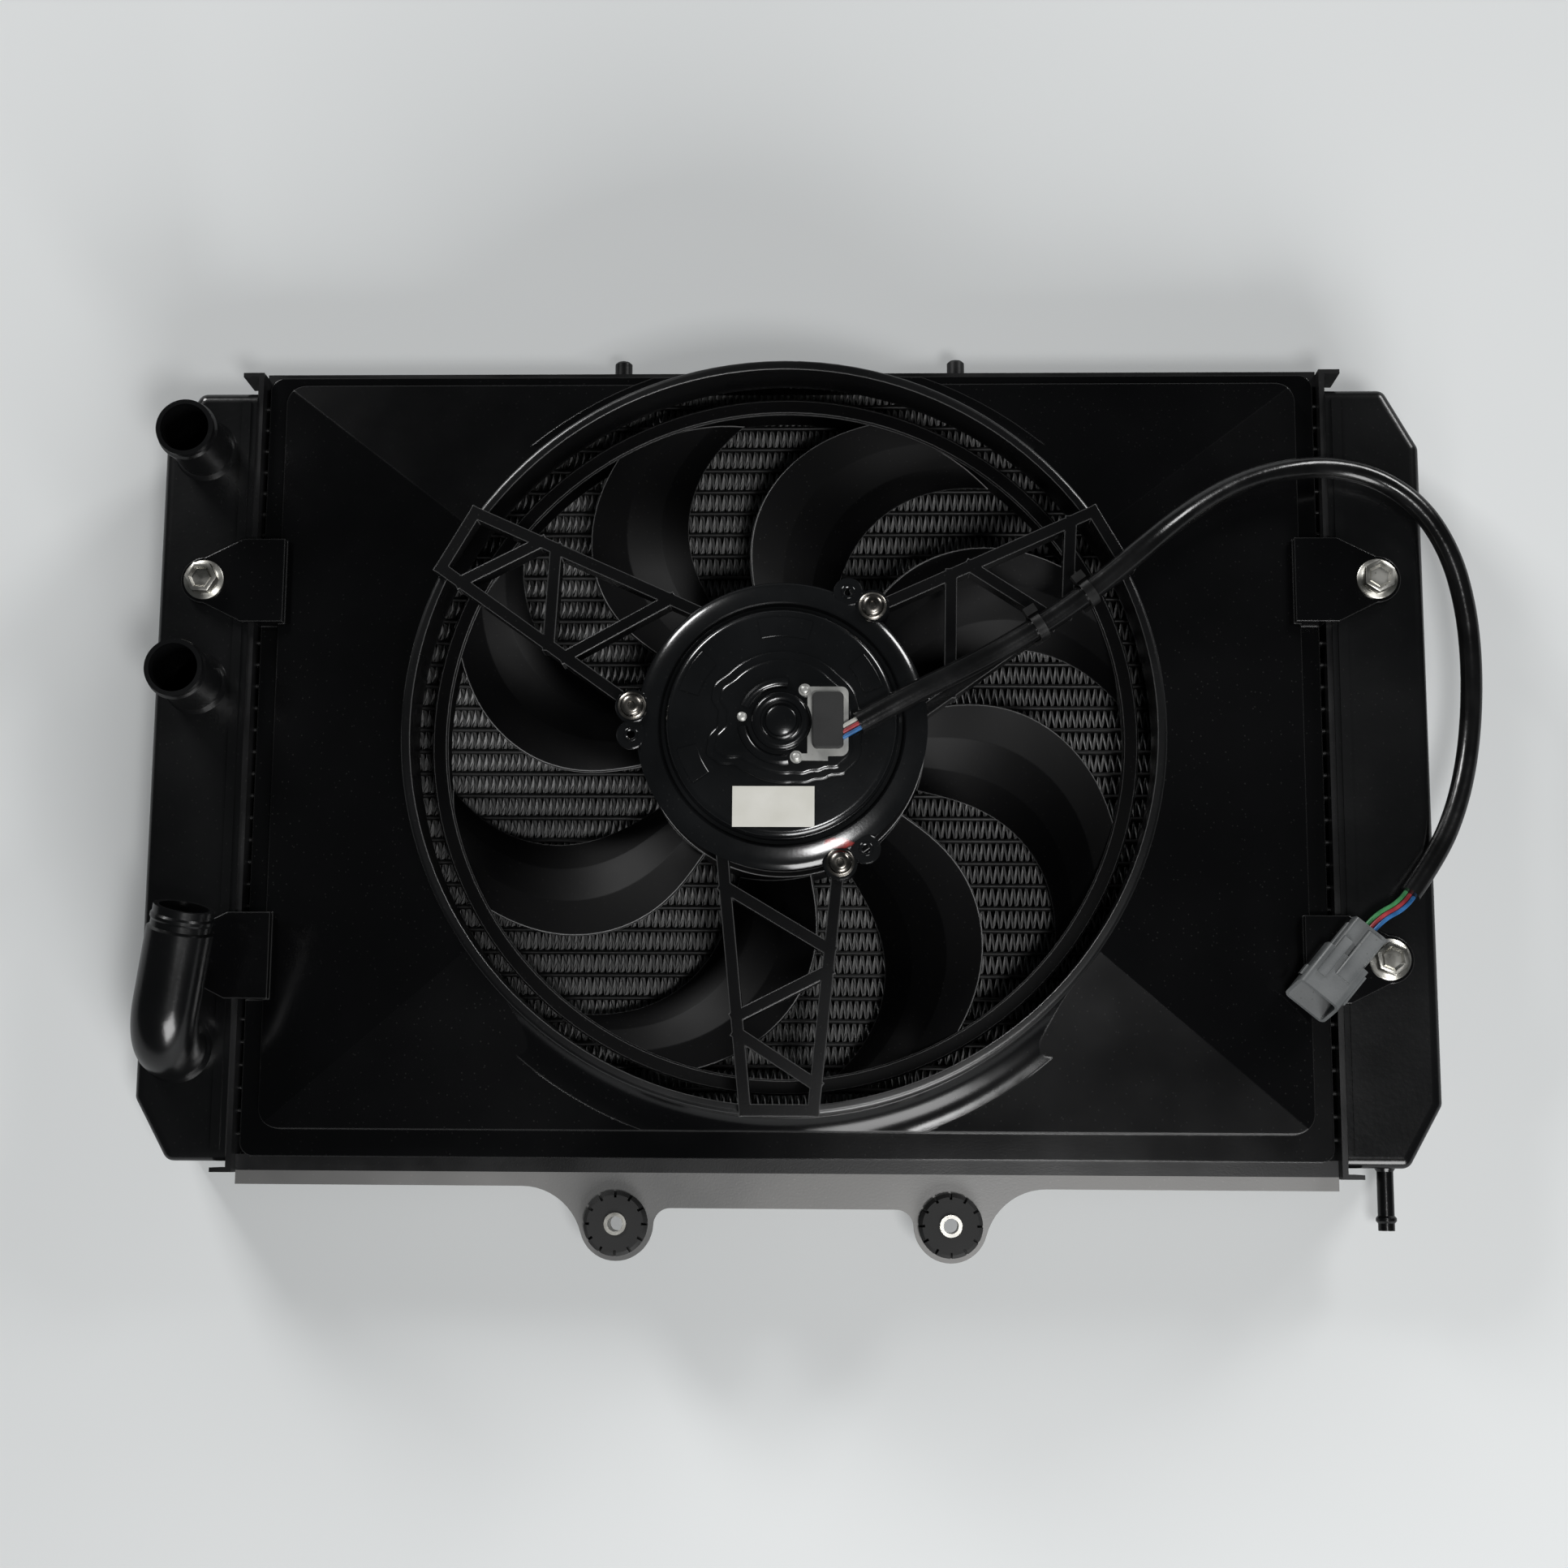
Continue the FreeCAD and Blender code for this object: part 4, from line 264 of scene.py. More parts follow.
# Fins: aluminium strip 0.12 mm thick, folded into a zigzag with 1.5 mm from wall to wall, in 35
# rows between and beside the tubes. The walls lean one way and then back, as their louvres do,
# and no two folds or rows are quite alike. Dull alloy, its pale grey partly painted light that
# stands in for the table's light seen through the core, and near black at the core's ends.
fins_low, fins_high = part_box("core_fins")
fin_row_height = tube_pitch - tube_thickness
fin_thickness = 0.00012
fin_wall_pitch = 0.0015
louvre_depth = 0.0034
louvre_lean = 0.0013
slow_wobble, fast_wobble, row_shift = 0.0002, 0.00012, 0.0007
fin_bends = int((fins_high[0] - fins_low[0]) / fin_wall_pitch)


def points_in(geometry):
    """The vertices among the items that an operator made."""
    return [item for item in geometry if isinstance(item, bmesh.types.BMVert)]


fins = bmesh.new()
bends = []
for number in range(fin_bends + 1):
    side = number % 2
    wobble = slow_wobble * math.sin(number * 0.37) + fast_wobble * math.sin(number * 1.91)
    bends.append(fins.verts.new((fins_low[0] + number * fin_wall_pitch + wobble,
                                 fins_low[1] + side * fin_row_height, fins_low[2])))
strip = [fins.edges.new(pair) for pair in zip(bends, bends[1:])]
lower_depth = fins_high[2] - fins_low[2] - louvre_depth
for lean, depth in ((louvre_lean, lower_depth), (-louvre_lean, louvre_depth)):
    walls = bmesh.ops.extrude_edge_only(fins, edges=strip)["geom"]
    risen = points_in(walls)
    strip = [item for item in walls
             if isinstance(item, bmesh.types.BMEdge) and set(item.verts) <= set(risen)]
    bmesh.ops.translate(fins, verts=risen, vec=(lean, 0, depth))
first_row = fins.verts[:] + fins.edges[:] + fins.faces[:]
for row in range(1, tube_count + 1):
    copied = points_in(bmesh.ops.duplicate(fins, geom=first_row)["geom"])
    shift = row_shift * math.sin(row * 2.4)
    bmesh.ops.translate(fins, verts=copied, vec=(shift, row * tube_pitch, 0))


def fin_finish():
    """Dull alloy, paler by painted light, with fine louvre bands and near black at the core's ends.
    """
    # painted light: both grey tones are raised to stand in for the table's light that shows through
    # the core
    material = finish("fin_alloy", (0.3, 0.3, 0.3), (0.5, 0.5, 0.495), (0.35, 0.55), clouds=9,
                      grain=700, depth=0.00003, metal=0.3, dust=(0.45, 0.44, 0.42))
    tree = material.node_tree
    shader = tree.nodes["Principled BSDF"]
    place = tree.nodes.new("ShaderNodeTexCoord")
    louvres = tree.nodes.new("ShaderNodeTexWave")
    louvres.bands_direction = "Z"
    louvres.inputs["Scale"].default_value = 320
    bump = tree.nodes.new("ShaderNodeBump")
    bump.inputs["Distance"].default_value = 0.0002
    split = tree.nodes.new("ShaderNodeSeparateXYZ")
    outward = tree.nodes.new("ShaderNodeMath")
    outward.operation = "ABSOLUTE"
    # the fins turn near black from 222 to 229 mm out from the middle, beside the tanks
    core_end_mask = tree.nodes.new("ShaderNodeMapRange")
    core_end_mask.inputs["From Min"].default_value = 0.222
    core_end_mask.inputs["From Max"].default_value = 0.229
    darkened_core_ends = tree.nodes.new("ShaderNodeMix")
    darkened_core_ends.data_type = "RGBA"
    darkened_core_ends.inputs["B"].default_value = (0.004, 0.004, 0.004, 1)
    tree.links.new(place.outputs["Object"], split.inputs["Vector"])
    tree.links.new(split.outputs["X"], outward.inputs[0])
    tree.links.new(outward.outputs["Value"], core_end_mask.inputs["Value"])
    tree.links.new(core_end_mask.outputs["Result"], darkened_core_ends.inputs["Factor"])
    tree.links.new(tree.nodes["settle"].outputs["Result"], darkened_core_ends.inputs["A"])
    tree.links.new(darkened_core_ends.outputs["Result"], shader.inputs["Base Color"])
    tree.links.new(place.outputs["Object"], louvres.inputs["Vector"])
    tree.links.new(louvres.outputs["Fac"], bump.inputs["Height"])
    tree.links.new(tree.nodes["bump"].outputs["Normal"], bump.inputs["Normal"])
    tree.links.new(bump.outputs["Normal"], shader.inputs["Normal"])
    return material


folded_fins = made_piece("folded_fins", fins, "radiator", fin_finish(), ["core_fins"],
                         smooth=20)
sheet = folded_fins.modifiers.new("sheet", "SOLIDIFY")
sheet.thickness = fin_thickness


# Header plates, side plates and locating pins: pressed sheet that frames the core, brazed on
# and then sprayed black with the rest, so the coat is thin and a little dusty.
def coat_node(material, *names):
    """Gives carried-over CAD nodes a finish."""
    for name in names:
        nodes[name].data.materials.clear()
        nodes[name].data.materials.append(material)


frame_paint = finish("frame_paint", (0.004, 0.004, 0.0043), (0.009, 0.009, 0.0095), (0.3, 0.45),
                     clouds=30, grain=1400, depth=0.00003, dust=(0.03, 0.03, 0.029))
coat_node(frame_paint, "header_plate_left", "header_plate_right", "side_plate_top",
          "side_plate_bottom", "locating_pins")


# Tanks with their hose pipes: sheet metal boxes 50 mm deep, welded and painted satin black. The
# paint has the faint orange peel of a dipped coat, with a thin clear layer over it.
tank_paint = finish("tank_paint", (0.0025, 0.0026, 0.0028), (0.005, 0.0051, 0.0054), (0.2, 0.3),
                    clouds=14, grain=420, depth=0.00004, dust=(0.016, 0.016, 0.0155), coat=0.1)
coat_node(tank_paint, "tank_left", "tank_right", "hose_port_upper", "hose_port_lower",
          "elbow_pipe", "vent_pipe")


# Mounting bracket: pressed steel with two round ears, duller than the tanks and a little metallic,
# with pale dust. Its mid grey is partly its coat and partly painted sheen, for the light it
# catches.
bracket_paint = finish("bracket_paint", (0.17, 0.17, 0.168), (0.27, 0.265, 0.258), (0.34, 0.5),
                       clouds=9, grain=1100, depth=0.00003, metal=0.3, dust=(0.3, 0.29, 0.28))
coat_node(bracket_paint, "mounting_bracket")


# Grommets of black rubber, each with a zinc-plated collar that takes the mounting bolt. The
# rubber serves the wire grommet and the seal too, and the zinc the weld nuts and the fan's nut.
soft_rubber = finish("soft_rubber", (0.008, 0.008, 0.008), (0.02, 0.02, 0.02), (0.6, 0.8),
                     clouds=60, grain=1800, depth=0.00005)
coat_node(soft_rubber, "grommets", "wire_grommet", "connector_seal")
zinc_plate = finish("zinc_plate", (0.42, 0.41, 0.37), (0.62, 0.61, 0.57), (0.25, 0.45), clouds=120,
                    grain=2500, depth=0.00002, metal=1, dust=(0.2, 0.19, 0.16))
coat_node(zinc_plate, "grommet_collars", "weld_nuts", "fan_nut")


# Shroud and motor stay: one family of black injection moulding, with the slow waviness that such
# thin walls take when they cool, and painted highlights along their edges and creases. The pan is
# shinier than the ring.
def moulded_finish(name, dark, light, rough, grain_depth, edge=0.05, shine=0.35):
    """Shiny moulded plastic with a slow wave under its fine grain, and painted highlights of tone
    edge along its edges.
    """
    material = finish(name, dark, light, rough, clouds=11, grain=1300, depth=grain_depth,
                      dust=(0.02, 0.02, 0.0195))
    tree = material.node_tree
    shader = tree.nodes["Principled BSDF"]
    flat = tree.nodes.new("ShaderNodeNewGeometry")
    rounded = tree.nodes.new("ShaderNodeBevel")
    rounded.samples = 6
    rounded.inputs["Radius"].default_value = 0.001
    likeness = tree.nodes.new("ShaderNodeVectorMath")
    likeness.operation = "DOT_PRODUCT"
    # painted highlight: where the rounded normal leaves the true one, at edges and creases, the
    # colour is lifted to the edge tone
    corner = tree.nodes.new("ShaderNodeMapRange")
    corner.inputs["From Min"].default_value = 0.97
    corner.inputs["From Max"].default_value = 0.75
    painted_edge_glint = tree.nodes.new("ShaderNodeMix")
    painted_edge_glint.data_type = "RGBA"
    painted_edge_glint.inputs["B"].default_value = (edge, edge, edge, 1)
    tree.links.new(flat.outputs["True Normal"], likeness.inputs[0])
    tree.links.new(rounded.outputs["Normal"], likeness.inputs[1])
    tree.links.new(likeness.outputs["Value"], corner.inputs["Value"])
    tree.links.new(corner.outputs["Result"], painted_edge_glint.inputs["Factor"])
    tree.links.new(tree.nodes["settle"].outputs["Result"], painted_edge_glint.inputs["A"])
    tree.links.new(painted_edge_glint.outputs["Result"], shader.inputs["Base Color"])
    tree.links.new(rounded.outputs["Normal"], tree.nodes["bump"].inputs["Normal"])
    shader.inputs["Specular IOR Level"].default_value = shine
    place = tree.nodes.new("ShaderNodeTexCoord")
    sink = tree.nodes.new("ShaderNodeTexNoise")
    sink.inputs["Scale"].default_value = 14
    sink.inputs["Detail"].default_value = 1
    wave = tree.nodes.new("ShaderNodeBump")
    wave.inputs["Distance"].default_value = 0.0012
    tree.links.new(place.outputs["Object"], sink.inputs["Vector"])
    tree.links.new(sink.outputs["Fac"], wave.inputs["Height"])
    tree.links.new(tree.nodes["bump"].outputs["Normal"], wave.inputs["Normal"])
    tree.links.new(wave.outputs["Normal"], shader.inputs["Normal"])
    return material


shroud_tones = ((0.0016, 0.0016, 0.0018), (0.003, 0.003, 0.0033))
shroud_plastic = moulded_finish("shroud_plastic", *shroud_tones, (0.13, 0.22), 0.00001)
coat_node(shroud_plastic, "fan_shroud")
ring_plastic = moulded_finish("ring_plastic", *shroud_tones, (0.22, 0.32), 0.00001, edge=0.16,
                              shine=0.75)
coat_node(ring_plastic, "shroud_ring")
stay_plastic = moulded_finish("stay_plastic", (0.003, 0.003, 0.0032), (0.006, 0.006, 0.0063),
                              (0.2, 0.3), 0.00002, edge=0.14)
coat_node(stay_plastic, "motor_stay")


# Flange bolts that hold the shroud: zinc-plated steel, with a washer face 18 mm across and a
# dished hexagon 15 mm over its corners, each turned its own way. Each is made at the origin and
# then moved, so the points nearer than bolt_reach are its own.
bolt_face = 0.054
bolt_places = [(side * 0.262, y) for side in (-1, 1) for y in (0.0943, -0.0744)]
bolt_reach = 0.012
hexagon_radius = 0.0075
hexagon_foot, hexagon_rise, corner_break = 0.0018, 0.0051, 0.0006
dish_rim, dish_depth = 0.0014, 0.0012


def turned_part(shape, profile, steps=48):
    """Spins a profile of (radius, height) points about Z and closes it."""
    points = [shape.verts.new((radius, 0, height)) for radius, height in profile]
    edges = [shape.edges.new(pair) for pair in zip(points, points[1:])]
    if profile[0][0] > 0 and profile[-1][0] > 0:
        edges.append(shape.edges.new((points[-1], points[0])))
    before = set(shape.faces)
    bmesh.ops.spin(shape, geom=points + edges, cent=(0, 0, 0), axis=(0, 0, 1), angle=math.tau,
                   steps=steps, use_merge=True)
    faces = [face for face in shape.faces if face not in before]
    verts = list({vert for face in faces for vert in face.verts})
    bmesh.ops.remove_doubles(shape, verts=verts, dist=0.00001)
    faces = [face for face in shape.faces if face not in before]
    bmesh.ops.recalc_face_normals(shape, faces=faces)
    return list({vert for face in faces for vert in face.verts})


def flange_bolt(shape, x, y):
    """One bolt head: washer face, hexagon with broken corners, and a dish in its top."""
    turned_part(shape, [(0, 0), (0.009, 0), (0.009, 0.0009), (0.0084, 0.0013), (0.0072, 0.0016),
                        (0.0066, 0.0021), (0, 0.0021)])
    ring = bmesh.ops.create_circle(shape, cap_ends=True, cap_tris=False, segments=6,
                                   radius=hexagon_radius)["verts"]
    bmesh.ops.translate(shape, verts=ring, vec=(0, 0, hexagon_foot))
    top = points_in(bmesh.ops.extrude_face_region(shape, geom=[ring[0].link_faces[0]])["geom"])
    bmesh.ops.translate(shape, verts=top, vec=(0, 0, hexagon_rise))
    round_edges(shape, {edge for vert in top for edge in vert.link_edges}, corner_break, 2)
    cap = max((face for face in shape.faces if face.calc_center_median().xy.length < 0.001),
              key=lambda face: face.calc_center_median().z)
    bmesh.ops.inset_region(shape, faces=[cap], thickness=dish_rim, depth=0)
    bmesh.ops.inset_region(shape, faces=[cap], thickness=dish_depth, depth=-dish_depth)
    bolt = [vert for vert in shape.verts if vert.co.xy.length < bolt_reach]
    turned_by = Matrix.Rotation(x * 9 + y * 30, 3, "Z")
    bmesh.ops.rotate(shape, verts=bolt, cent=(0, 0, 0), matrix=turned_by)
    bmesh.ops.translate(shape, verts=bolt, vec=(x, y, bolt_face))


bolts = bmesh.new()
for place in bolt_places:
    flange_bolt(bolts, *place)
made_piece("flange_bolts", bolts, "radiator", zinc_plate, ["shroud_bolts"], smooth=30)


# Motor: a drawn steel can under a pressed cover with a flange 122 mm across, both satin black, the
# cover under more clear coat. It has a groove round its dome, an island in two steps with a wavy
# outline, beads and shallow pads, and three ears for its screws. Profiles are (radius, height).
def motor_finish(name, coat):
    """Satin black over steel, under a clear coat of the given weight."""
    return finish(name, (0.003, 0.0032, 0.0035), (0.006, 0.0064, 0.007), (0.15, 0.24), clouds=25,
                  grain=900, depth=0.00002, dust=(0.018, 0.018, 0.0175), coat=coat)


def on_circle(angle, radius):
    """The place at an angle on a circle round the origin."""
    return Vector((math.cos(angle), math.sin(angle), 0)) * radius


motor_paint = motor_finish("motor_paint", 0.1)
coat_node(motor_paint, "motor_can")
cover_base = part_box("motor_cover")[0][2]
screw_circle = 0.0632
first_screw = math.radians(53)
screw_angles = [first_screw + number * math.tau / 3 for number in range(3)]
cover = bmesh.new()
turned_part(cover, [(0.0125, 0.0066), (0.0125, 0.0070), (0.0455, 0.0070), (0.0467, 0.0068),
                    (0.0478, 0.0060), (0.0484, 0.0049), (0.0485, 0.0040), (0.0486, 0.0016),
                    (0.0491, 0.0010), (0.0505, 0.0010), (0.0510, 0.0020), (0.0515, 0.0030),
                    (0.0522, 0.0034), (0.0535, 0.0032), (0.0560, 0.0026), (0.0585, 0.0019),
                    (0.0600, 0.0011), (0.0609, 0.0003), (0.0612, 0), (0.0465, 0),
                    (0.0465, 0.0040), (0.0440, 0.0052), (0.0125, 0.0052)], steps=120)
ear = [(0, 0), (0.0072, 0), (0.0072, 0.0016), (0.0067, 0.0021), (0, 0.0021)]
eyelet = [(0.0017, 0), (0.0062, 0), (0.0062, 0.0015), (0.0057, 0.0020), (0.0030, 0.0020),
          (0.0027, 0.0024), (0.0021, 0.0024), (0.0017, 0.0021)]
eyelet_turn = math.radians(11)
for angle in screw_angles:
    for turn_by, profile in ((0, ear), (eyelet_turn, eyelet)):
        lobe = turned_part(cover, profile, steps=40)
        bmesh.ops.translate(cover, verts=lobe, vec=on_circle(angle + turn_by, screw_circle))

# the island: its radius in millimetres at each angle, from the fan's axis
island_outline = [(0, 30), (20, 30), (45, 28), (90, 27), (135, 27), (152, 29), (160, 28),
                  (172, 23.5), (182, 23.5), (194, 28.5), (204, 31), (212, 28.9), (225, 23.5),
                  (239, 22.5), (255, 22.5), (277, 23), (297, 25), (310, 27.4), (322, 31.5),
                  (335, 33), (350, 31), (360, 30)]
island_foot = 0.0060
same_height = 1e-6


def island_radius(angle):
    """The outline's radius in metres, eased between its given angles."""
    (start, low), (end, high) = next(span for span in zip(island_outline, island_outline[1:])
                                     if angle <= span[1][0])
    share = (1 - math.cos(math.pi * (angle - start) / (end - start))) / 2
    return (low + (high - low) * share) / 1000


for grown, lift, roundness in ((0.0032, 0.0018, 0.0012), (0, 0.0026, 0.0022)):
    rim = bmesh.ops.create_circle(cover, cap_ends=True, cap_tris=False, segments=180,
                                  radius=1)["verts"]
    for vert in rim:
        bearing = math.atan2(vert.co.y, vert.co.x) % math.tau
        reach = island_radius(math.degrees(bearing)) + grown
        vert.co = Vector((math.cos(bearing) * reach, math.sin(bearing) * reach, island_foot))
    top = points_in(bmesh.ops.extrude_face_region(cover, geom=[rim[0].link_faces[0]])["geom"])
    bmesh.ops.translate(cover, verts=top, vec=(0, 0, lift))
    edges = {edge for vert in top for edge in vert.link_edges
             if abs(edge.verts[0].co.z - edge.verts[1].co.z) < same_height}
    round_edges(cover, edges, roundness, 5, clamped=True)


def raised_arc(shape, section, start, end, steps):
    """Sweeps a closed (radius, height) section round Z between two angles in degrees."""
    low = math.radians(start)
    corners = [shape.verts.new((radius * math.cos(low), radius * math.sin(low), height))
               for radius, height in section]
    face = shape.faces.new(corners)
    bmesh.ops.spin(shape, geom=[face] + face.edges[:] + corners, cent=(0, 0, 0),
                   axis=(0, 0, 1), angle=math.radians(end - start), steps=steps)


bead = [(0.0140, 0.0086), (0.0184, 0.0086), (0.0180, 0.0096), (0.0170, 0.0103),
        (0.0158, 0.0103), (0.0146, 0.0096)]
raised_arc(cover, bead, 80, 158, 24)
raised_arc(cover, bead, 188, 280, 28)
pad = [(0.0362, 0.0066), (0.0452, 0.0066), (0.0446, 0.0074), (0.0368, 0.0074)]
for middle, width in ((88, 30), (150, 24), (205, 20), (30, 20)):
    raised_arc(cover, pad, middle - width / 2, middle + width / 2, 14)
bmesh.ops.translate(cover, verts=cover.verts[:], vec=(fan_axis.x, fan_axis.y, cover_base))
bmesh.ops.recalc_face_normals(cover, faces=cover.faces[:])


def cover_finish():
    """The motor's paint with an inspector's dab of red beside one screw."""
    material = motor_finish("cover_paint", 0.6)
    tree = material.node_tree
    shader = tree.nodes["Principled BSDF"]
    place = tree.nodes.new("ShaderNodeTexCoord")
    shift = tree.nodes.new("ShaderNodeMapping")
    shift.inputs["Location"].default_value = (-0.0238, 0.0315, -0.1095)
    shift.vector_type = "POINT"
    stretch = tree.nodes.new("ShaderNodeVectorMath")
    stretch.operation = "MULTIPLY"
    stretch.inputs[1].default_value = (0.55, 1.5, 0.3)
    reach = tree.nodes.new("ShaderNodeVectorMath")
    reach.operation = "LENGTH"
    ragged = tree.nodes.new("ShaderNodeTexNoise")
    ragged.inputs["Scale"].default_value = 500
    edge = tree.nodes.new("ShaderNodeMath")
    edge.operation = "MULTIPLY_ADD"
    edge.inputs[1].default_value = 0.0022
    dab = tree.nodes.new("ShaderNodeMapRange")
    dab.inputs["From Min"].default_value = 0.0046
    dab.inputs["From Max"].default_value = 0.0038
    red = tree.nodes.new("ShaderNodeMix")
    red.data_type = "RGBA"
    red.inputs["B"].default_value = (0.36, 0.03, 0.025, 1)
    tree.links.new(place.outputs["Object"], shift.inputs["Vector"])
    tree.links.new(place.outputs["Object"], ragged.inputs["Vector"])
    tree.links.new(shift.outputs["Vector"], stretch.inputs[0])
    tree.links.new(stretch.outputs["Vector"], reach.inputs[0])
    tree.links.new(ragged.outputs["Fac"], edge.inputs[0])
    tree.links.new(reach.outputs["Value"], edge.inputs[2])
    tree.links.new(edge.outputs["Value"], dab.inputs["Value"])
    tree.links.new(dab.outputs["Result"], red.inputs["Factor"])
    tree.links.new(tree.nodes["settle"].outputs["Result"], red.inputs["A"])
    tree.links.new(red.outputs["Result"], shader.inputs["Base Color"])
    return material


cover_paint = cover_finish()
made_piece("pressed_cover", cover, "radiator", cover_paint, ["motor_cover"],
           smooth=32)
cap_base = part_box("bearing_cap")[0][2]
cap = bmesh.new()
turned_part(cap, [(0, 0), (0.0123, 0), (0.0123, 0.0016), (0.0118, 0.0024), (0.0108, 0.0030),
                  (0.0096, 0.0030), (0.0087, 0.0026), (0.0083, 0.0014), (0.0075, 0.0010),
                  (0.0067, 0.0012), (0.0063, 0.0021), (0.0056, 0.0025), (0, 0.0026)], steps=72)
bmesh.ops.translate(cap, verts=cap.verts[:], vec=(fan_axis.x, fan_axis.y, cap_base))
made_piece("stepped_cap", cap, "radiator", motor_paint, ["bearing_cap"], smooth=32)


# Inside the motor: magnets, armature, commutator, brushes, bearings and the shaft. They are
# hidden in the can, and have the plain finishes of new parts.
magnet_ceramic = finish("magnet_ceramic", (0.03, 0.03, 0.03), (0.06, 0.06, 0.06), (0.6, 0.75),
                        grain=1500, depth=0.00005)
coat_node(magnet_ceramic, "motor_magnets")
steel_laminations = finish("steel_laminations", (0.22, 0.22, 0.22), (0.34, 0.34, 0.34), (0.3, 0.5),
                           metal=1)
coat_node(steel_laminations, "armature", "motor_shaft")
turned_copper = finish("turned_copper", (0.45, 0.2, 0.1), (0.6, 0.29, 0.16), (0.25, 0.45),
                       clouds=90, metal=1)
coat_node(turned_copper, "commutator")
brush_board = finish("brush_board", (0.05, 0.025, 0.012), (0.09, 0.045, 0.02), (0.5, 0.7),
                     clouds=70)
coat_node(brush_board, "brush_plate")
sintered_bronze = finish("sintered_bronze", (0.3, 0.18, 0.07), (0.42, 0.27, 0.12), (0.45, 0.6),
                         grain=3000, depth=0.00004, metal=1)
coat_node(sintered_bronze, "front_bearing", "rear_bearing")


# Motor screws: domed steel heads 4.2 mm high with a socket, each on a thin captive washer 12 mm
# across, in warm steel that clouds from dark to bright.
screw_steel = finish("screw_steel", (0.16, 0.15, 0.135), (0.34, 0.32, 0.29), (0.18, 0.34),
                     clouds=160, grain=2200, depth=0.00002, metal=1)
screw_height = 0.0042
screw_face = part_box("motor_screws")[1][2] - screw_height
screws = bmesh.new()
for angle in screw_angles:
    head = turned_part(screws, [(0, 0), (0.0059, 0), (0.0059, 0.0008), (0.0053, 0.0011),
                                (0.0049, 0.0012), (0.0048, 0.0022), (0.0044, 0.0031),
                                (0.0036, 0.0038), (0.0022, screw_height), (0.0015, 0.0041),
                                (0.0012, 0.0030), (0, 0.0029)])
    spot = fan_axis + on_circle(angle, screw_circle)
    bmesh.ops.translate(screws, verts=head, vec=(spot.x, spot.y, screw_face))
made_piece("domed_screws", screws, "radiator", screw_steel, ["motor_screws"],
           smooth=40)


# Terminal plate of bright steel with its three rivets, with a warm dust. The black block beside
# it, which the wires come out of, has the grommets' rubber.
bright_steel = finish("bright_steel", (0.5, 0.5, 0.48), (0.68, 0.68, 0.65), (0.3, 0.5), clouds=70,
                      grain=1500, depth=0.00002, metal=0.7, dust=(0.3, 0.29, 0.27))
coat_node(bright_steel, "terminal_plate", "rivets")


# A bare pale rectangle of thin film on the dome, blank from edge to edge.
pale_film = finish("pale_film", (0.62, 0.61, 0.55), (0.7, 0.69, 0.64), (0.35, 0.5), clouds=60,
                   grain=600, depth=0.00002)
coat_node(pale_film, "blank_patch")


# Fan: hub, band and eight blades of one black moulding about 306 mm across, duller and darker
# than the shroud, with bright painted highlights along its edges.
fan_plastic = moulded_finish("fan_plastic", (0.0012, 0.0012, 0.0014), (0.0024, 0.0024, 0.0027),
                             (0.4, 0.5), 0.00001, edge=0.5, shine=0.12)
coat_node(fan_plastic, "fan_hub", "fan_band", "fan_blades")


# Cord: a black sheath over the wires, 494 mm long and 9.5 mm wide. It leaves the motor, is tied
# to an arm of the stay, drops over the shroud and hangs round the tank's edge to its connector.
cord_route = [(0.032, 0.0171, 0.1194), (0.0524, 0.0289, 0.1186), (0.0731, 0.0397, 0.1146),
              (0.0936, 0.051, 0.1126), (0.1136, 0.0634, 0.1124), (0.1324, 0.0774, 0.1125),
              (0.1496, 0.0918, 0.112), (0.1656, 0.1064, 0.1048), (0.182, 0.12, 0.093),
              (0.1996, 0.1316, 0.0806), (0.2192, 0.14, 0.069), (0.2414, 0.1442, 0.0606),
              (0.264, 0.1398, 0.0569), (0.2828, 0.1264, 0.0553), (0.2953, 0.1063, 0.0525),
              (0.302, 0.084, 0.048), (0.3048, 0.0609, 0.044), (0.3043, 0.0373, 0.0427),
              (0.3007, 0.0141, 0.0453), (0.2939, -0.0079, 0.0505), (0.2837, -0.0284, 0.0563),
              (0.2698, -0.0468, 0.0612)]
cord_diameter = 0.0095


def flexible(name, routes, radius, materials):
    """One curve object with a round section, and a spline and a finish for each route."""
    curve = bpy.data.curves.new(name, "CURVE")
    curve.dimensions = "3D"
    curve.bevel_depth = radius
    curve.bevel_resolution = 5
    curve.use_fill_caps = True
    for material in materials:
        curve.materials.append(material)
    for number, route in enumerate(routes):
        spline = curve.splines.new("NURBS")
        spline.points.add(len(route) - 1)
        for point, place in zip(spline.points, route):
            point.co = (*place, 1)
        spline.order_u = 3
        spline.use_endpoint_u = True
        spline.resolution_u = 10
        spline.material_index = number
    made = bpy.data.objects.new(name, curve)
    bpy.context.scene.collection.objects.link(made)
    return made


sheath_skin = finish("sheath_skin", (0.003, 0.003, 0.0031), (0.007, 0.007, 0.0072), (0.16, 0.28),
                     clouds=45, grain=260, depth=0.0001)
sheath = flexible("cord_sheath", [cord_route], cord_diameter / 2, [sheath_skin])
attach(sheath, "radiator")
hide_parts("cord_sleeve")


# Wires: three at each end, 1.9 mm thick and 2 mm apart, each in its own colour, out of the
# motor's block and out of the sheath's other end. They leave the block's face at block_face.
wire_radius = 0.00095
wire_gap = 0.002
block_face = 0.0245
wire_lift = Vector((0, 0, 0.0002))


def wire_skin(name, colour):
    """Shiny insulation of one colour, a little soiled."""
    soiled = [part * 0.6 for part in colour]
    return finish(name, soiled, colour, (0.3, 0.45), clouds=200, grain=1500)


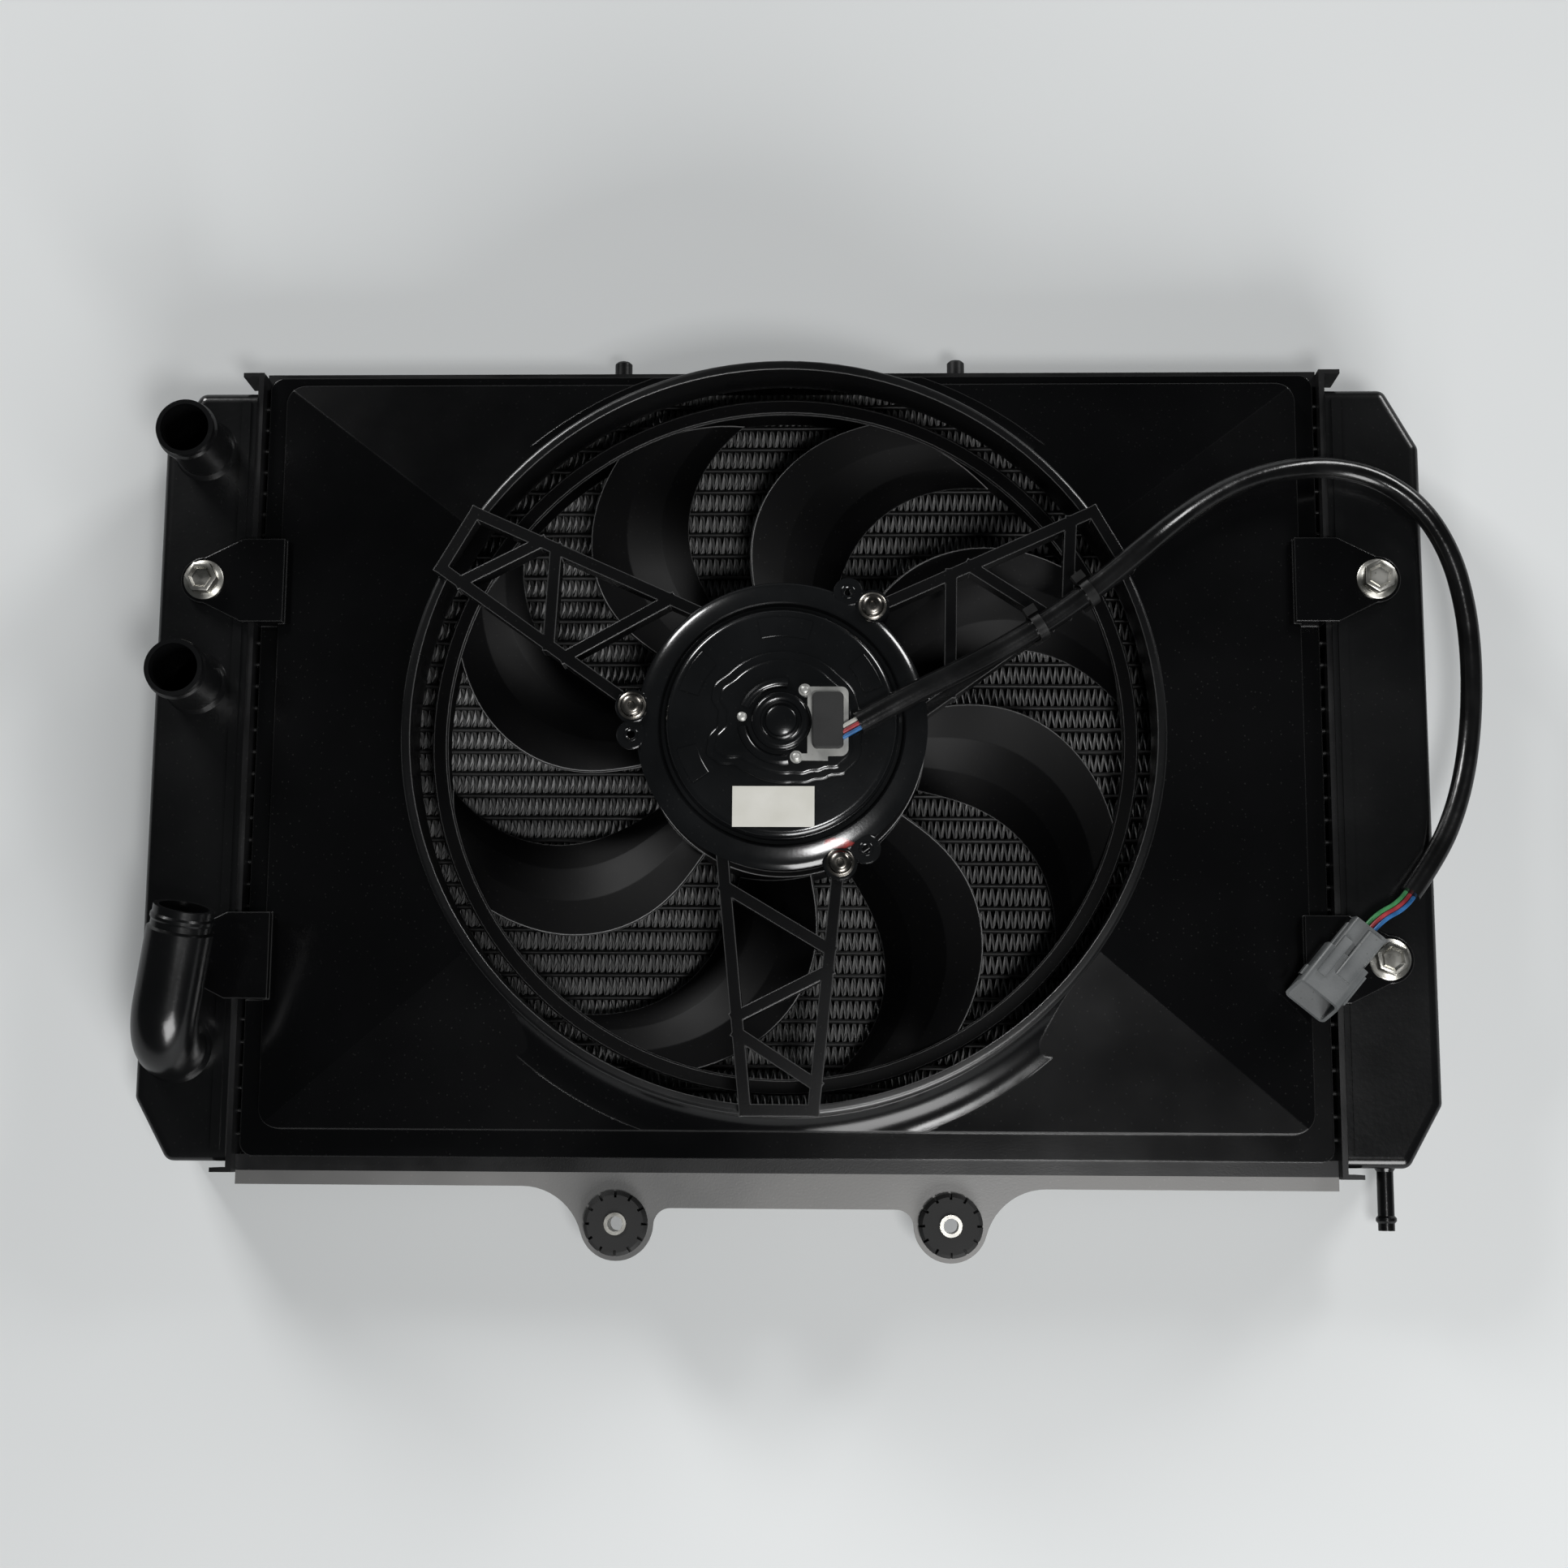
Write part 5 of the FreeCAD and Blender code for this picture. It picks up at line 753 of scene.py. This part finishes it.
blue, red, green, white = (wire_skin(name, colour) for name, colour in (
    ("blue_wire", (0.03, 0.16, 0.42)), ("red_wire", (0.4, 0.04, 0.05)),
    ("green_wire", (0.06, 0.28, 0.1)), ("white_wire", (0.5, 0.5, 0.46))))
leaving = (Vector(cord_route[1]) - Vector(cord_route[0])).normalized()
across = Vector((-leaving.y, leaving.x, 0)).normalized()
short_wires = []
for place in (-1, 0, 1):
    end = Vector(cord_route[0]) + across * (place * wire_gap)
    reach = (end.x - block_face) / leaving.x
    short_wires.append([end - leaving * reach, end - leaving * (reach / 2) + wire_lift, end])
motor_leads = flexible("motor_leads", short_wires, wire_radius, [blue, red, white])
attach(motor_leads, "radiator")
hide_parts("motor_wires")


# Cable ties of black nylon that hold the sheath down on the arm's long rib.
tie_nylon = finish("tie_nylon", (0.006, 0.006, 0.006), (0.014, 0.014, 0.014), (0.3, 0.42),
                   clouds=90, grain=1200)
coat_node(tie_nylon, "cable_ties")


# Connector: a grey nylon housing 44 mm long, with a narrow rear that the wires enter and a nose
# 21 mm wide, cut on the slant and hollow, that takes its mate. Ribs and a tunnel for the lock run
# along its top. It is built along X from its rear, and then turned and tilted into place.
connector_rear = Vector((0.2515, -0.062, 0.0642))
connector_turn = math.radians(-129.2)
connector_tilt = math.radians(3.9)
housing_length, housing_half, housing_height = 0.044, 0.0105, 0.015
neck_length, neck_half, neck_overlap, neck_step = 0.016, 0.0082, 0.001, 0.0015
slant_back, mouth_wall, mouth_depth = 0.0041, 0.0014, 0.0185
housing_top = housing_height / 2
housing = bmesh.new()
rounded_bar(housing, (0, -neck_half, -housing_top),
            (neck_length + neck_overlap, neck_half, housing_top - neck_step), 0.002, segments=4)
rounded_bar(housing, (neck_length, -housing_half, -housing_top),
            (housing_length, housing_half, housing_top), 0.003, segments=5)
nose = [face for face in housing.faces
        if face.calc_center_median().x > housing_length - 0.0001][0]
nose_geom = list({item for vert in nose.verts for face in vert.link_faces
                  for item in [face, *face.edges, *face.verts]})
slant = Vector((0.0075, 0, 0.0042)).normalized()
bmesh.ops.bisect_plane(housing, geom=nose_geom, plane_co=(housing_length - slant_back, 0, 0),
                       plane_no=slant, clear_outer=True, dist=0.000001)
rim = [edge for edge in housing.edges if edge.is_boundary]
mouth = bmesh.ops.contextual_create(housing, geom=rim)["faces"]
bmesh.ops.inset_region(housing, faces=mouth, thickness=mouth_wall, depth=0)
sunk = points_in(bmesh.ops.extrude_face_region(housing, geom=mouth)["geom"])
bmesh.ops.delete(housing, geom=mouth, context="FACES_ONLY")
bmesh.ops.translate(housing, verts=sunk, vec=(-mouth_depth, 0, 0))
for low, high, radius in (((0.002, -0.0006, 0.0042), (0.025, 0.007, 0.0091), 0.0015),
                          ((0.010, -0.0072, 0.0045), (0.029, -0.0026, 0.0083), 0.0008),
                          ((0.004, -0.0092, -0.003), (0.0165, -0.0078, 0.003), 0.0006),
                          ((0.018, 0.0102, -0.0035), (0.033, 0.0116, 0.0035), 0.0006),
                          ((0.029, -0.0116, -0.0025), (0.034, -0.0102, 0.0045), 0.0006)):
    rounded_bar(housing, low, high, radius)
turn_over = Matrix.Rotation(connector_turn, 3, "Z") @ Matrix.Rotation(connector_tilt, 3, "Y")
bmesh.ops.rotate(housing, verts=housing.verts[:], cent=(0, 0, 0), matrix=turn_over)
bmesh.ops.translate(housing, verts=housing.verts[:], vec=connector_rear)
bmesh.ops.recalc_face_normals(housing, faces=housing.faces[:])
grey_nylon = finish("grey_nylon", (0.1, 0.106, 0.108), (0.145, 0.152, 0.154), (0.36, 0.48),
                    clouds=60, grain=1300, depth=0.00003, dust=(0.07, 0.07, 0.066))
plug_housing = made_piece("plug_housing", housing, "radiator", grey_nylon, ["connector"],
                          smooth=30)
end_axis = turn_over @ Vector((1, 0, 0))
end_side = turn_over @ Vector((0, 1, 0))
end_up = turn_over @ Vector((0, 0, 1))
sheath_end = Vector(cord_route[-1])
sheath_way = (sheath_end - Vector(cord_route[-2])).normalized()
sheath_side = Vector((-sheath_way.y, sheath_way.x, 0)).normalized()
wire_run, wire_entry, wire_drop = 0.0065, 0.0004, 0.0007
long_wires = []
for place in (-1, 0, 1):
    start = sheath_end + sheath_side * (place * wire_gap)
    stop = connector_rear - end_up * wire_drop + end_side * (place * wire_gap)
    long_wires.append([start, start + sheath_way * wire_run, stop - end_axis * wire_run,
                       stop + end_axis * wire_entry])
plug_leads = flexible("plug_leads", long_wires, wire_radius, [green, red, blue])
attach(plug_leads, "radiator")
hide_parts("connector_wires")
